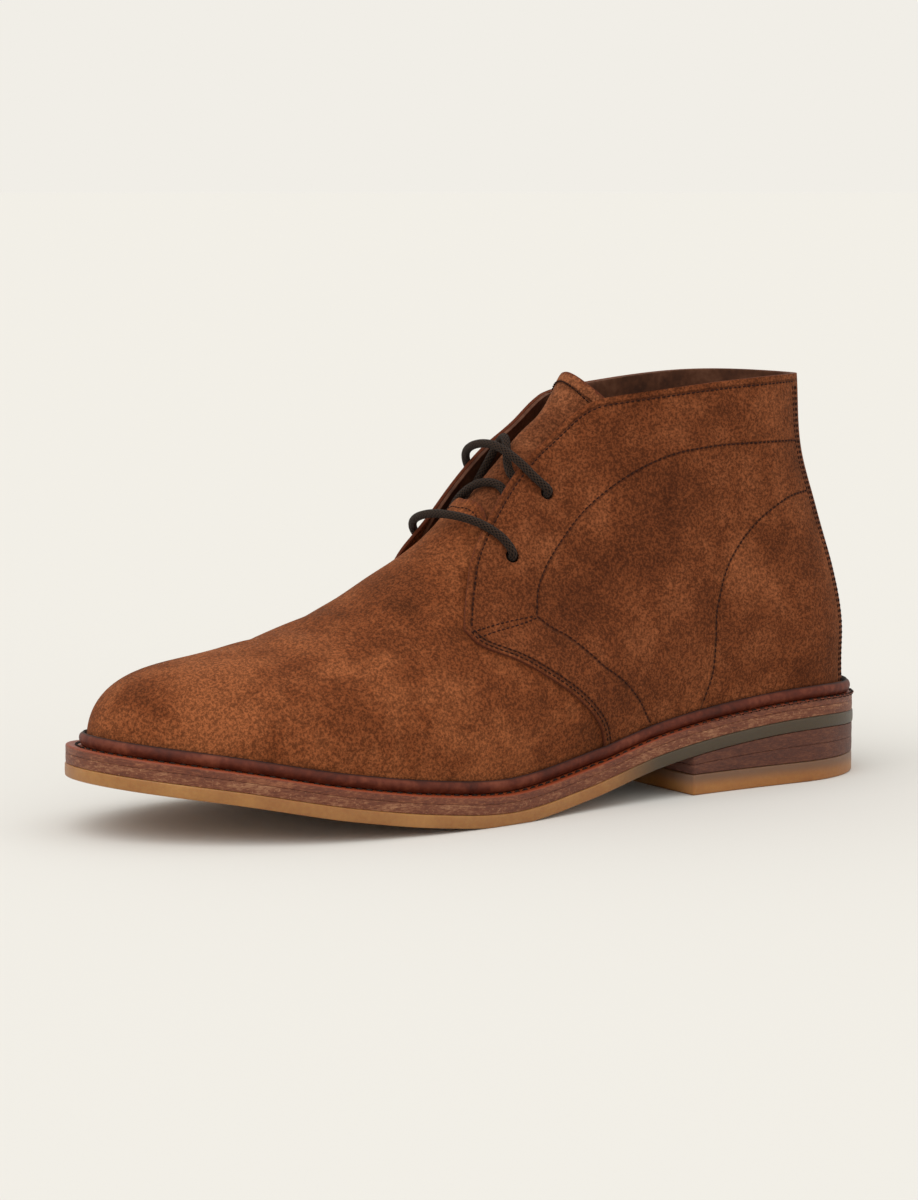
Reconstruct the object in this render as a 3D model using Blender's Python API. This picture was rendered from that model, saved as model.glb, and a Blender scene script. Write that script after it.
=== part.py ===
# Chukka boot, left shoe: hollow upper, tongue, insole, welt, midsole, outsole, stacked heel and lace.
# Metres, +Z up. The toe points to -Y, the outer (lateral) side to +X, the boot stands on z = 0.

import bpy
import bmesh
import math
import numpy as np

# Last and upper, main sizes
LAST_LENGTH = 0.292
BALL_WIDTH = 0.0888
INSTEP_HEIGHT = 0.0834
HEEL_HEIGHT = 0.0283
COLLAR_HEIGHT = 0.1125
ANKLE_HEIGHT = 0.062
BELLY_HEIGHT = 0.024
HEEL_ROUND = 0.0353
TOE_ROUND = 0.0622
RIDGE_ROUND = 0.0509
HEEL_ROUND_POWER = 2.16
TOE_ROUND_POWER = 2.06
RIDGE_ROUND_POWER = 2.44

# Leather of the upper
VAMP_THICKNESS = 0.0022
QUARTER_RAISE = 0.0012
QUARTER_SINK = 0.0011
BACK_SEAM_STEP = 0.0005
BACK_SEAM_OFFSET = 0.009
BACK_SEAM_WIDTH = 0.0008
BACK_SEAM_REACH = 0.04
LAP_LEAD = 0.007
LAP_LAG = 0.0025
LAP_LENGTH = 0.006
LATERAL_FACING_STAND = 0.0018
MEDIAL_FACING_STAND = 0.0034
COLLAR_STAND = 0.0018
FACING_REACH = 0.032
UPPER_REST_GAP = 0.0003
QUARTER_LIFT = 0.00025

# Tongue and insole
TONGUE_THICKNESS = 0.0019
TONGUE_LOW_DEPTH = 0.0026
TONGUE_HIGH_DEPTH = 0.0036
TONGUE_TOP_DROP = 0.0125
TONGUE_LOW_DROP = 0.007
INSOLE_THICKNESS = 0.0046
INSOLE_TOP = 0.0021
INSOLE_GAP = 0.0006

# Eyelets and lace
EYELET_DIAMETER = 0.0047
EYELET_DEPTH = 0.012
LACE_DIAMETER = 0.0029
LACE_INSIDE_LIFT = -0.0015
LACE_NEAR_LIFT = 0.0047
LACE_FAR_LIFT = 0.0058
LACE_OVER_LIFT = 0.0065

# Welt, midsole, outsole and heel
WELT_THICKNESS = 0.0026
BEAD_HEIGHT = 0.0045
BEAD_THICKNESS = 0.0020
BEAD_GAP = 0.00035
LAYER_GAP = 0.0003
MIDSOLE_THICKNESS = 0.0031
OUTSOLE_THICKNESS = 0.0043
EDGE_ROUND = 0.0005
SOLE_STEP = 0.0003
HEEL_BREAST = 0.086
TOP_LIFT_THICKNESS = 0.0073

# Sampling
SOLE_STATIONS = 42
VAMP_RINGS = 18
VAMP_COLUMNS = 24
QUARTER_LOW_ROWS = 7
QUARTER_HIGH_ROWS = 11
QUARTER_BACK_COLUMNS = 4
QUARTER_SIDE_COLUMNS = 14
TONGUE_ROWS = 12
TONGUE_COLUMNS = 12
LACE_SIDES = 8
EYELET_SIDES = 20

# Stations along the last. share is of LAST_LENGTH; widths, belly and axis are shares of BALL_WIDTH,
# feather is a share of HEEL_HEIGHT, power is the crown's exponent.
FOOT_COLUMNS = ("share", "lateral", "medial", "axis", "feather", "power", "belly", "ankle", "collar", "margin")
FOOT_ROWS = (
    (0.00, 0.339, 0.338, 0.002, 0.985, 1.57, 0.028, 0.323, 0.297, 0.0512),
    (0.10, 0.344, 0.349, -0.001, 1.030, 1.51, 0.031, 0.338, 0.319, 0.0495),
    (0.22, 0.348, 0.338, -0.002, 0.950, 1.60, 0.033, 0.350, 0.346, 0.0512),
    (0.34, 0.366, 0.304, -0.002, 0.775, 1.55, 0.045, 0.382, 0.382, 0.0608),
    (0.46, 0.417, 0.315, 0.000, 0.500, 1.42, 0.056, 0.406, 0.383, 0.0642),
    (0.58, 0.494, 0.394, 0.002, 0.362, 1.54, 0.056, 0.496, 0.496, 0.0687),
    (0.68, 0.527, 0.462, -0.010, 0.448, 1.80, 0.051, 0.541, 0.541, 0.0721),
    (0.78, 0.519, 0.473, -0.034, 0.602, 2.01, 0.039, 0.541, 0.541, 0.0738),
    (0.90, 0.462, 0.450, -0.068, 0.838, 2.09, 0.021, 0.473, 0.473, 0.0743),
    (1.00, 0.404, 0.405, -0.090, 0.992, 2.30, 0.007, 0.406, 0.405, 0.0766),
)

# Ridge over the feather line: share of LAST_LENGTH, height as a share of INSTEP_HEIGHT
RIDGE_COLUMNS = ("share", "height")
RIDGE_ROWS = (
    (0.00, 4.80), (0.15, 3.60), (0.25, 2.578), (0.35, 1.810), (0.42, 1.465), (0.48, 1.305), (0.51, 1.200),
    (0.54, 1.077), (0.57, 0.981), (0.60, 0.907), (0.64, 0.816), (0.68, 0.716), (0.76, 0.561), (0.86, 0.415), (1.00, 0.356),
)

# Back of the heel: share of COLLAR_HEIGHT, set-in as a share of LAST_LENGTH
BACK_COLUMNS = ("level", "set_in")
BACK_ROWS = (
    (0.00, 0.0087), (0.11, 0.0128), (0.23, 0.0146), (0.40, 0.0264), (0.58, 0.0473), (0.76, 0.0686),
    (1.00, 0.0746),
)

# Quarter's lower front edge: height as a share of COLLAR_HEIGHT, place as a share of LAST_LENGTH
FRONT_COLUMNS = ("level", "share")
FRONT_ROWS = (
    (0.000, 0.4190), (0.102, 0.4310), (0.196, 0.4600), (0.294, 0.5040), (0.372, 0.5480), (0.421, 0.5885),
    (0.463, 0.6020),
)

# Vamp's rear edge under the quarters: angle around the crown, place as a share of LAST_LENGTH
VAMP_REAR_COLUMNS = ("angle", "share")
VAMP_REAR_ROWS = (
    (0.0, 0.381), (10.0, 0.393), (18.0, 0.422), (26.0, 0.460), (34.0, 0.502), (42.0, 0.541), (50.0, 0.556),
    (58.0, 0.549), (66.0, 0.537), (74.0, 0.531), (82.0, 0.532), (90.0, 0.535),
)

# Facing and collar edge from the front corner up: place along the last and angle around the crown
FACING_COLUMNS = ("step", "share", "angle")
FACING_ROWS = (
    (0.00, 0.6020, 48.2), (0.13, 0.5834, 57.6), (0.24, 0.5650, 64.4), (0.33, 0.5450, 67.9),
    (0.43, 0.5230, 69.4), (0.55, 0.4980, 70.5), (0.64, 0.4766, 70.6), (0.73, 0.4505, 70.5),
    (0.80, 0.4290, 69.6), (0.87, 0.4070, 67.3), (0.94, 0.3870, 63.4), (1.00, 0.3700, 59.2),
)

# Where each facing step's row meets the centre back, as a share of COLLAR_HEIGHT
ROW_BACK_COLUMNS = ("step", "level")
ROW_BACK_ROWS = ((0.00, 0.440), (0.33, 0.640), (0.55, 0.770), (0.73, 0.870), (0.87, 0.942), (1.00, 1.000))

# Eyelets on each facing: share of LAST_LENGTH and angle around the crown
EYELETS = ((0.5204, 54.8), (0.4624, 58.9))

COLOURS = {
    "suede": (0.235, 0.117, 0.058),
    "lining": (0.170, 0.090, 0.048),
    "insole_leather": (0.300, 0.170, 0.090),
    "welt_leather": (0.130, 0.045, 0.022),
    "midsole_leather": (0.160, 0.070, 0.032),
    "gum_rubber": (0.330, 0.160, 0.045),
    "heel_leather": (0.150, 0.060, 0.028),
    "lift_rubber": (0.360, 0.170, 0.050),
    "lace": (0.030, 0.016, 0.010),
}


def clear_scene():
    for item in list(bpy.data.objects):
        bpy.data.objects.remove(item, do_unlink=True)


def column(columns, rows, name):
    return np.array([row[columns.index(name)] for row in rows], dtype=float)


def smooth(x, xs, ys):
    # Cubic curve through the table's points, ends held
    slopes = np.gradient(ys, xs)
    x = np.clip(x, xs[0], xs[-1])
    i = np.clip(np.searchsorted(xs, x, side="right") - 1, 0, len(xs) - 2)
    width = xs[i + 1] - xs[i]
    t = (x - xs[i]) / width
    rise = (-2 * t**3 + 3 * t**2) * (ys[i + 1] - ys[i])
    start = (t**3 - 2 * t**2 + t) * width * slopes[i]
    end = (t**3 - t**2) * width * slopes[i + 1]
    return ys[i] + rise + start + end


def ease(x):
    t = np.clip(x, 0.0, 1.0)
    return t * t * (3.0 - 2.0 * t)


def foot(along, name):
    xs = column(FOOT_COLUMNS, FOOT_ROWS, "share")
    return smooth(np.asarray(along) / LAST_LENGTH, xs, column(FOOT_COLUMNS, FOOT_ROWS, name))


def feather_height(along):
    # Height of the feather line, carried on straight past the heel and the toe
    inside = np.clip(along, 0.0, LAST_LENGTH)
    step = 0.01 * LAST_LENGTH
    heel_slope = (foot(step, "feather") - foot(0.0, "feather")) / step
    toe_slope = (foot(LAST_LENGTH, "feather") - foot(LAST_LENGTH - step, "feather")) / step
    beyond = np.minimum(along, 0.0) * heel_slope + np.maximum(along - LAST_LENGTH, 0.0) * toe_slope
    return (foot(inside, "feather") + beyond) * HEEL_HEIGHT


def back_set_in(level):
    xs = column(BACK_COLUMNS, BACK_ROWS, "level") * COLLAR_HEIGHT
    return smooth(level, xs, column(BACK_COLUMNS, BACK_ROWS, "set_in")) * LAST_LENGTH


def ridge_height(along):
    xs = column(RIDGE_COLUMNS, RIDGE_ROWS, "share")
    body = smooth(along / LAST_LENGTH, xs, column(RIDGE_COLUMNS, RIDGE_ROWS, "height")) * INSTEP_HEIGHT
    near_tip = np.clip((along - (LAST_LENGTH - RIDGE_ROUND)) / RIDGE_ROUND, 0.0, 1.0)
    return body * (1.0 - near_tip**RIDGE_ROUND_POWER) ** (1.0 / RIDGE_ROUND_POWER)


def half_width(along, level, side):
    # Width of one side at a height, from the feather, belly, ankle and collar widths
    base = np.where(side > 0, foot(along, "lateral"), foot(along, "medial"))
    widths = (base, base + foot(along, "belly"), foot(along, "ankle"), foot(along, "collar"))
    levels = (0.0, BELLY_HEIGHT, ANKLE_HEIGHT, COLLAR_HEIGHT)
    slopes = [(widths[1] - widths[0]) / (levels[1] - levels[0])]
    for k in (1, 2):
        below = (widths[k] - widths[k - 1]) / (levels[k] - levels[k - 1])
        above = (widths[k + 1] - widths[k]) / (levels[k + 1] - levels[k])
        low_span = levels[k] - levels[k - 1]
        high_span = levels[k + 1] - levels[k]
        slopes.append((below * high_span + above * low_span) / (low_span + high_span))
    slopes.append((widths[3] - widths[2]) / (levels[3] - levels[2]))
    result = widths[0] + np.zeros_like(level)
    for k in range(3):
        span = levels[k + 1] - levels[k]
        t = np.clip((level - levels[k]) / span, 0.0, 1.0)
        rise = (-2 * t**3 + 3 * t**2) * (widths[k + 1] - widths[k])
        ends = (t**3 - 2 * t**2 + t) * span * slopes[k] + (t**3 - t**2) * span * slopes[k + 1]
        result = np.where(level >= levels[k], widths[k] + rise + ends, result)
    return result * BALL_WIDTH


def end_rounding(along, level):
    from_back = np.clip((along - back_set_in(level)) / HEEL_ROUND, 0.0, 1.0)
    heel = (1.0 - (1.0 - from_back) ** HEEL_ROUND_POWER) ** (1.0 / HEEL_ROUND_POWER)
    near_tip = np.clip((along - (LAST_LENGTH - TOE_ROUND)) / TOE_ROUND, 0.0, 1.0)
    toe = (1.0 - near_tip**TOE_ROUND_POWER) ** (1.0 / TOE_ROUND_POWER)
    return heel * toe


def last_point(along, level, side):
    # Point of the last's side at a height over the feather line
    share = np.clip(level / np.maximum(ridge_height(along), 1e-6), 0.0, 1.0)
    crown = np.sqrt(1.0 - share ** foot(along, "power"))
    reach = side * half_width(along, level, side) * crown * end_rounding(along, level)
    across = foot(along, "axis") * BALL_WIDTH + reach
    return np.stack([along, across, feather_height(along) + level], axis=-1)


def crown_level(along, angle):
    return ridge_height(along) * np.sin(np.radians(angle)) ** (2.0 / foot(along, "power"))


def crown_point(along, angle):
    # Point of the last by the angle around its crown: 0 lateral feather, 90 ridge, 180 medial feather
    level = crown_level(along, angle)
    side = np.where(angle <= 90.0, 1.0, -1.0)
    reach = np.cos(np.radians(angle)) * half_width(along, level, side) * end_rounding(along, level)
    across = foot(along, "axis") * BALL_WIDTH + reach
    return np.stack([along, across, feather_height(along) + level], axis=-1)


def grid_normals(points):
    down = np.gradient(points, axis=0)
    over = np.gradient(points, axis=1)
    normals = np.cross(down, over)
    length = np.linalg.norm(normals, axis=-1, keepdims=True)
    return normals / np.maximum(length, 1e-12)


def outward(points, normals, centre):
    # Turn the whole field of normals so that it points away from the boot's inside
    if np.sum((points - centre) * normals) < 0.0:
        return -normals
    return normals


def level_loop(level, offset, stations=SOLE_STATIONS):
    # Closed contour of the last at a height, moved outward in plan
    tip = LAST_LENGTH
    if level > 0.0:
        probe = np.linspace(LAST_LENGTH - RIDGE_ROUND, LAST_LENGTH, 2001)
        tip = float(probe[ridge_height(probe) >= level].max())
    heel = float(back_set_in(level))
    turn = (1.0 - np.cos(np.pi * np.linspace(0.0, 1.0, stations + 1))) / 2.0
    along = heel + (tip - heel) * turn
    flat = np.full_like(along, level)
    lateral = last_point(along, flat, np.ones_like(along))
    medial = last_point(along, flat, -np.ones_like(along))
    loop = np.concatenate([lateral, medial[-2:0:-1]])
    station = np.concatenate([along, along[-2:0:-1]])
    tangent = np.roll(loop, -1, axis=0) - np.roll(loop, 1, axis=0)
    normal = np.stack([-tangent[:, 1], tangent[:, 0]], axis=-1)
    normal = normal / np.linalg.norm(normal, axis=-1, keepdims=True)
    reach = offset(station) if callable(offset) else offset
    moved = loop[:, :2] + normal * np.reshape(reach * np.ones(len(loop)), (-1, 1))
    return moved


def margin(along):
    return foot(along, "margin") * BALL_WIDTH


FRONT_FOOT = FRONT_ROWS[0][1] * LAST_LENGTH
VAMP_FOOT = VAMP_REAR_ROWS[0][1] * LAST_LENGTH


def outer_shift(along):
    # Extra reach where the quarters lie over the vamp
    return QUARTER_RAISE * ease((FRONT_FOOT + LAP_LEAD - along) / LAP_LENGTH)


def inner_shift(along):
    return (VAMP_THICKNESS - QUARTER_SINK) * ease((VAMP_FOOT - LAP_LAG - along) / LAP_LENGTH)


OUTLINE = level_loop(0.0, lambda station: margin(station) + SOLE_STEP)
CENTRE_ALONG = (OUTLINE[:, 0].max() + OUTLINE[:, 0].min()) / 2.0
CENTRE_ACROSS = (OUTLINE[:, 1].max() + OUTLINE[:, 1].min()) / 2.0


def place(points):
    # Along, across, up to world X, Y, Z
    points = np.asarray(points, dtype=float)
    return np.stack([points[..., 1] - CENTRE_ACROSS, CENTRE_ALONG - points[..., 0], points[..., 2]], axis=-1)


def make_material(name, colour, roughness):
    material = bpy.data.materials.new(name)
    material.use_nodes = True
    shader = material.node_tree.nodes["Principled BSDF"]
    shader.inputs["Base Color"].default_value = (*colour, 1.0)
    shader.inputs["Roughness"].default_value = roughness
    shader.inputs["Metallic"].default_value = 0.0
    return material


def make_object(name, points, faces, material):
    mesh = bpy.data.meshes.new(name)
    mesh.from_pydata([tuple(p) for p in place(points)], [], faces)
    work = bmesh.new()
    work.from_mesh(mesh)
    bmesh.ops.remove_doubles(work, verts=work.verts, dist=0.000002)
    bmesh.ops.dissolve_degenerate(work, edges=work.edges, dist=0.000001)
    bmesh.ops.triangulate(work, faces=[f for f in work.faces if len(f.verts) > 4])
    bmesh.ops.recalc_face_normals(work, faces=work.faces)
    for face in work.faces:
        face.smooth = True
    work.to_mesh(mesh)
    work.free()
    mesh.materials.append(material)
    item = bpy.data.objects.new(name, mesh)
    bpy.context.scene.collection.objects.link(item)
    return item


def grid_faces(rows, columns, first, flip):
    faces = []
    for i in range(rows - 1):
        for j in range(columns - 1):
            a = first + i * columns + j
            quad = (a, a + 1, a + columns + 1, a + columns)
            faces.append(quad[::-1] if flip else quad)
    return faces


def shell(name, outer, inner, material):
    # Closed sheet between two grids of the same size
    rows, columns = outer.shape[:2]
    points = np.concatenate([outer.reshape(-1, 3), inner.reshape(-1, 3)])
    count = rows * columns
    faces = grid_faces(rows, columns, 0, False) + grid_faces(rows, columns, count, True)
    border = [j for j in range(columns)]
    border += [i * columns + columns - 1 for i in range(1, rows)]
    border += [(rows - 1) * columns + j for j in range(columns - 2, -1, -1)]
    border += [i * columns for i in range(rows - 2, 0, -1)]
    for k, a in enumerate(border):
        b = border[(k + 1) % len(border)]
        faces.append((b, a, a + count, b + count))
    return make_object(name, points, faces, material)


def loops_between(loops, closed):
    # Side faces of a stack of closed loops, and around again where the stack is a ring
    count = len(loops[0])
    faces = []
    last = len(loops) if closed else len(loops) - 1
    for k in range(last):
        low = k * count
        high = ((k + 1) % len(loops)) * count
        for j in range(count):
            n = (j + 1) % count
            faces.append((low + j, low + n, high + n, high + j))
    return faces


def cap_faces(count, first):
    # Flat strips joining the two sides of a loop at each station
    half = count // 2
    faces = [(first, first + 1, first + count - 1)]
    for j in range(1, half - 1):
        faces.append((first + j, first + j + 1, first + count - j - 1, first + count - j))
    faces.append((first + half - 1, first + half, first + half + 1))
    return faces


def slab(name, loops, material):
    count = len(loops[0])
    faces = loops_between(loops, False)
    faces += cap_faces(count, 0)
    faces += cap_faces(count, (len(loops) - 1) * count)
    return make_object(name, np.concatenate(loops), faces, material)


def edge_loops(offset, low, high):
    # Loops of a sole layer from its underside to its top, the edge rounded a little
    profile = ((-EDGE_ROUND, 0.0), (0.0, EDGE_ROUND), (0.0, -EDGE_ROUND), (-EDGE_ROUND, 0.0))
    loops = []
    for k, (reach, lift) in enumerate(profile):
        plan = level_loop(0.0, lambda s, extra=reach: offset(s) + extra)
        height = (low(plan[:, 0]) if k < 2 else high(plan[:, 0])) + lift
        loops.append(np.column_stack([plan, height]))
    return loops


def welt_top(along):
    return feather_height(along)


def midsole_top(along):
    return welt_top(along) - WELT_THICKNESS - LAYER_GAP


def outsole_top(along):
    return midsole_top(along) - MIDSOLE_THICKNESS - LAYER_GAP


def outsole_bottom(along):
    return np.maximum(outsole_top(along) - OUTSOLE_THICKNESS, 0.0)


def build_vamp(material):
    turn = np.linspace(0.0, 1.0, VAMP_RINGS)
    angle = np.linspace(0.0, 180.0, VAMP_COLUMNS + 1)
    from_tip = (1.0 - np.cos(turn * np.pi / 2.0)) ** 0.92
    folded = np.minimum(angle, 180.0 - angle)
    rear_angles = column(VAMP_REAR_COLUMNS, VAMP_REAR_ROWS, "angle")
    rear = LAST_LENGTH * smooth(folded, rear_angles, column(VAMP_REAR_COLUMNS, VAMP_REAR_ROWS, "share"))
    along = LAST_LENGTH - (LAST_LENGTH - rear)[None, :] * from_tip[:, None]
    angles = angle[None, :] + 0.0 * along
    points = crown_point(along, angles)
    points[..., 2] += UPPER_REST_GAP
    normals = outward(points, grid_normals(points), np.array([0.7 * LAST_LENGTH, 0.0, 0.02]))
    normals[0] = (1.0, 0.0, 0.0)
    normals[:, 0, 2] = 0.0
    normals[:, -1, 2] = 0.0
    inner = points - normals * VAMP_THICKNESS
    return shell("upper", points, inner, material)


def quarter_side(side):
    # Grid of one side from the centre back to the front edge: place along, height and outward lift
    low_step = np.linspace(0.0, 1.0, QUARTER_LOW_ROWS + 1)[:-1]
    high_step = np.linspace(0.0, 1.0, QUARTER_HIGH_ROWS + 1)
    front_level = low_step * FRONT_ROWS[-1][0]
    front_levels = column(FRONT_COLUMNS, FRONT_ROWS, "level")
    front_share = smooth(front_level, front_levels, column(FRONT_COLUMNS, FRONT_ROWS, "share"))
    steps = column(FACING_COLUMNS, FACING_ROWS, "step")
    facing_share = smooth(high_step, steps, column(FACING_COLUMNS, FACING_ROWS, "share"))
    facing_angle = smooth(high_step, steps, column(FACING_COLUMNS, FACING_ROWS, "angle"))
    edge_along = np.concatenate([front_share, facing_share]) * LAST_LENGTH
    facing_level = crown_level(facing_share * LAST_LENGTH, facing_angle)
    edge_level = np.concatenate([front_level * COLLAR_HEIGHT, facing_level])
    back_steps = column(ROW_BACK_COLUMNS, ROW_BACK_ROWS, "step")
    back_levels = column(ROW_BACK_COLUMNS, ROW_BACK_ROWS, "level")
    back_level = smooth(high_step, back_steps, back_levels) * COLLAR_HEIGHT
    back_level = np.concatenate([low_step * ROW_BACK_ROWS[0][1] * COLLAR_HEIGHT, back_level])
    back_turn = np.linspace(0.0, 1.0, QUARTER_BACK_COLUMNS + 1) ** 2 * BACK_SEAM_OFFSET
    side_turn = np.linspace(0.0, 1.0, QUARTER_SIDE_COLUMNS + 1)
    side_turn = 0.45 * side_turn + 0.55 * side_turn**1.5
    span = edge_along - back_set_in(back_level)
    seam_end = BACK_SEAM_OFFSET + BACK_SEAM_WIDTH
    reach = np.concatenate(
        [np.repeat(back_turn[None, :], len(span), axis=0), seam_end + (span[:, None] - seam_end) * side_turn[None, :]],
        axis=1,
    )
    part = reach / span[:, None]
    level = back_level[:, None] + (edge_level - back_level)[:, None] * part
    along = back_set_in(level) * (1.0 - part) + part * edge_along[:, None]
    along = np.maximum(along, back_set_in(level))
    along[:, -1] = edge_along
    step = np.concatenate([np.zeros(QUARTER_LOW_ROWS), high_step])
    rise = ease(step / 0.25)
    facing_stand = LATERAL_FACING_STAND if side > 0 else MEDIAL_FACING_STAND
    most = facing_stand + (COLLAR_STAND - facing_stand) * ease((step - 0.66) / 0.3)
    stand = (most * rise)[:, None] * ease(1.0 - (edge_along[:, None] - along) / FACING_REACH)
    seam = np.zeros_like(along)
    if side > 0:
        seam[:, : QUARTER_BACK_COLUMNS + 1] = BACK_SEAM_STEP
    else:
        seam = BACK_SEAM_STEP * (1.0 - ease(reach / BACK_SEAM_REACH))
    return along, level, stand, seam


def build_quarters(material):
    grids = []
    for side in (1.0, -1.0):
        along, level, stand, seam = quarter_side(side)
        points = last_point(along, level, side * np.ones_like(along))
        points[..., 2] += UPPER_REST_GAP
        grids.append((points, stand, seam))
    lateral = [g[:, ::-1] for g in grids[0]]
    medial = [g[:, 1:] for g in grids[1]]
    points, stand, seam = [np.concatenate([a, b], axis=1) for a, b in zip(lateral, medial)]
    normals = outward(points, grid_normals(points), np.array([0.25 * LAST_LENGTH, 0.0, 0.08]))
    normals[0, :, 2] = 0.0
    outer = points + normals * (QUARTER_RAISE + stand - seam)[..., None]
    inner = points + normals * (stand - QUARTER_SINK)[..., None]
    outer[0, :, 2] = points[0, :, 2] + QUARTER_LIFT
    inner[0, :, 2] = points[0, :, 2] + QUARTER_LIFT
    return shell("quarters_form", outer, inner, material)


def surface_frame(share, angle):
    # Point and outward normal of the last at a place
    spread = 0.0004
    along = share * LAST_LENGTH
    point = crown_point(np.array(along), np.array(angle))
    ahead, behind = (crown_point(np.array(along + way * spread), np.array(angle)) for way in (1.0, -1.0))
    up, down = (crown_point(np.array(along), np.array(angle + way * 0.5)) for way in (1.0, -1.0))
    along_step = ahead - behind
    over_step = up - down
    normal = np.cross(over_step, along_step)
    normal = normal / np.linalg.norm(normal)
    if normal[2] < 0.0 and abs(angle - 90.0) < 60.0:
        normal = -normal
    return point, normal


def build_eyelet_cutter(material):
    ring = 2.0 * np.pi * np.arange(EYELET_SIDES) / EYELET_SIDES
    points = []
    faces = []
    for share, angle in EYELETS:
        for turned in (angle, 180.0 - angle):
            centre, normal = surface_frame(share, turned)
            first = np.cross(normal, (0.0, 0.0, 1.0))
            first = first / np.linalg.norm(first)
            second = np.cross(normal, first)
            circle = np.cos(ring)[:, None] * first + np.sin(ring)[:, None] * second
            start = len(points) * EYELET_SIDES
            for depth in (-EYELET_DEPTH / 4.0, EYELET_DEPTH / 2.0):
                points.append(centre + normal * depth + circle * EYELET_DIAMETER / 2.0)
            faces.append(tuple(range(start, start + EYELET_SIDES)))
            faces.append(tuple(range(start + EYELET_SIDES, start + 2 * EYELET_SIDES)))
            for j in range(EYELET_SIDES):
                n = (j + 1) % EYELET_SIDES
                faces.append((start + j, start + n, start + EYELET_SIDES + n, start + EYELET_SIDES + j))
    return make_object("eyelet_holes", np.concatenate(points), faces, material)


def add_boolean(item, other, operation):
    modifier = item.modifiers.new(operation.lower(), "BOOLEAN")
    modifier.operation = operation
    modifier.solver = "EXACT"
    modifier.object = other
    other.hide_render = True
    other.display_type = "WIRE"


def build_tongue(material):
    turn = np.linspace(0.0, 1.0, TONGUE_ROWS + 1)
    over = np.linspace(-1.0, 1.0, TONGUE_COLUMNS + 1)
    centre = LAST_LENGTH * (0.572 - (0.572 - 0.402) * turn)
    half_angle = smooth(turn, np.array([0.0, 0.5, 1.0]), np.array([28.0, 31.0, 36.0]))
    drop = TONGUE_TOP_DROP * turn**3 - TONGUE_LOW_DROP * (1.0 - turn) ** 2
    along = centre[:, None] - drop[:, None] * over[None, :] ** 2
    angle = 90.0 - half_angle[:, None] * over[None, :]
    points = crown_point(along, angle)
    normals = outward(points, grid_normals(points), np.array([0.40 * LAST_LENGTH, 0.0, 0.05]))
    depth = TONGUE_LOW_DEPTH + (TONGUE_HIGH_DEPTH - TONGUE_LOW_DEPTH) * ease((turn - 0.18) / 0.2)
    outer = points - normals * depth[:, None, None]
    inner = outer - normals * TONGUE_THICKNESS
    return shell("tongue", outer, inner, material)


def spline(points, per_span):
    # Cubic curve that rounds a line of control points and ends on its first and last
    points = np.concatenate([[2 * points[0] - points[1]], points, [2 * points[-1] - points[-2]]])
    t = np.linspace(0.0, 1.0, per_span, endpoint=False)[:, None]
    pieces = []
    for k in range(len(points) - 3):
        a, b, c, d = points[k : k + 4]
        first = (1 - t) ** 3 * a + (3 * t**3 - 6 * t**2 + 4) * b
        value = first + (-3 * t**3 + 3 * t**2 + 3 * t + 1) * c + t**3 * d
        pieces.append(value / 6.0)
    pieces.append(points[None, -2])
    return np.concatenate(pieces)


def tube(name, path, diameter, sides, material):
    tangent = np.gradient(path, axis=0)
    tangent = tangent / np.linalg.norm(tangent, axis=-1, keepdims=True)
    side = np.cross(tangent[0], (0.0, 0.0, 1.0))
    side = side / np.linalg.norm(side)
    ring = 2.0 * np.pi * np.arange(sides) / sides
    points = []
    for k, centre in enumerate(path):
        side = side - tangent[k] * np.dot(side, tangent[k])
        side = side / np.linalg.norm(side)
        other = np.cross(tangent[k], side)
        circle = np.cos(ring)[:, None] * side + np.sin(ring)[:, None] * other
        points.append(centre + circle * diameter / 2.0)
    faces = loops_between(points, False)
    faces.append(tuple(range(sides)))
    last = (len(path) - 1) * sides
    faces.append(tuple(range(last, last + sides)))
    return make_object(name, np.concatenate(points), faces, material)


def lace_point(share, angle, lift):
    point, normal = surface_frame(share, angle)
    return point + normal * lift


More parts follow.
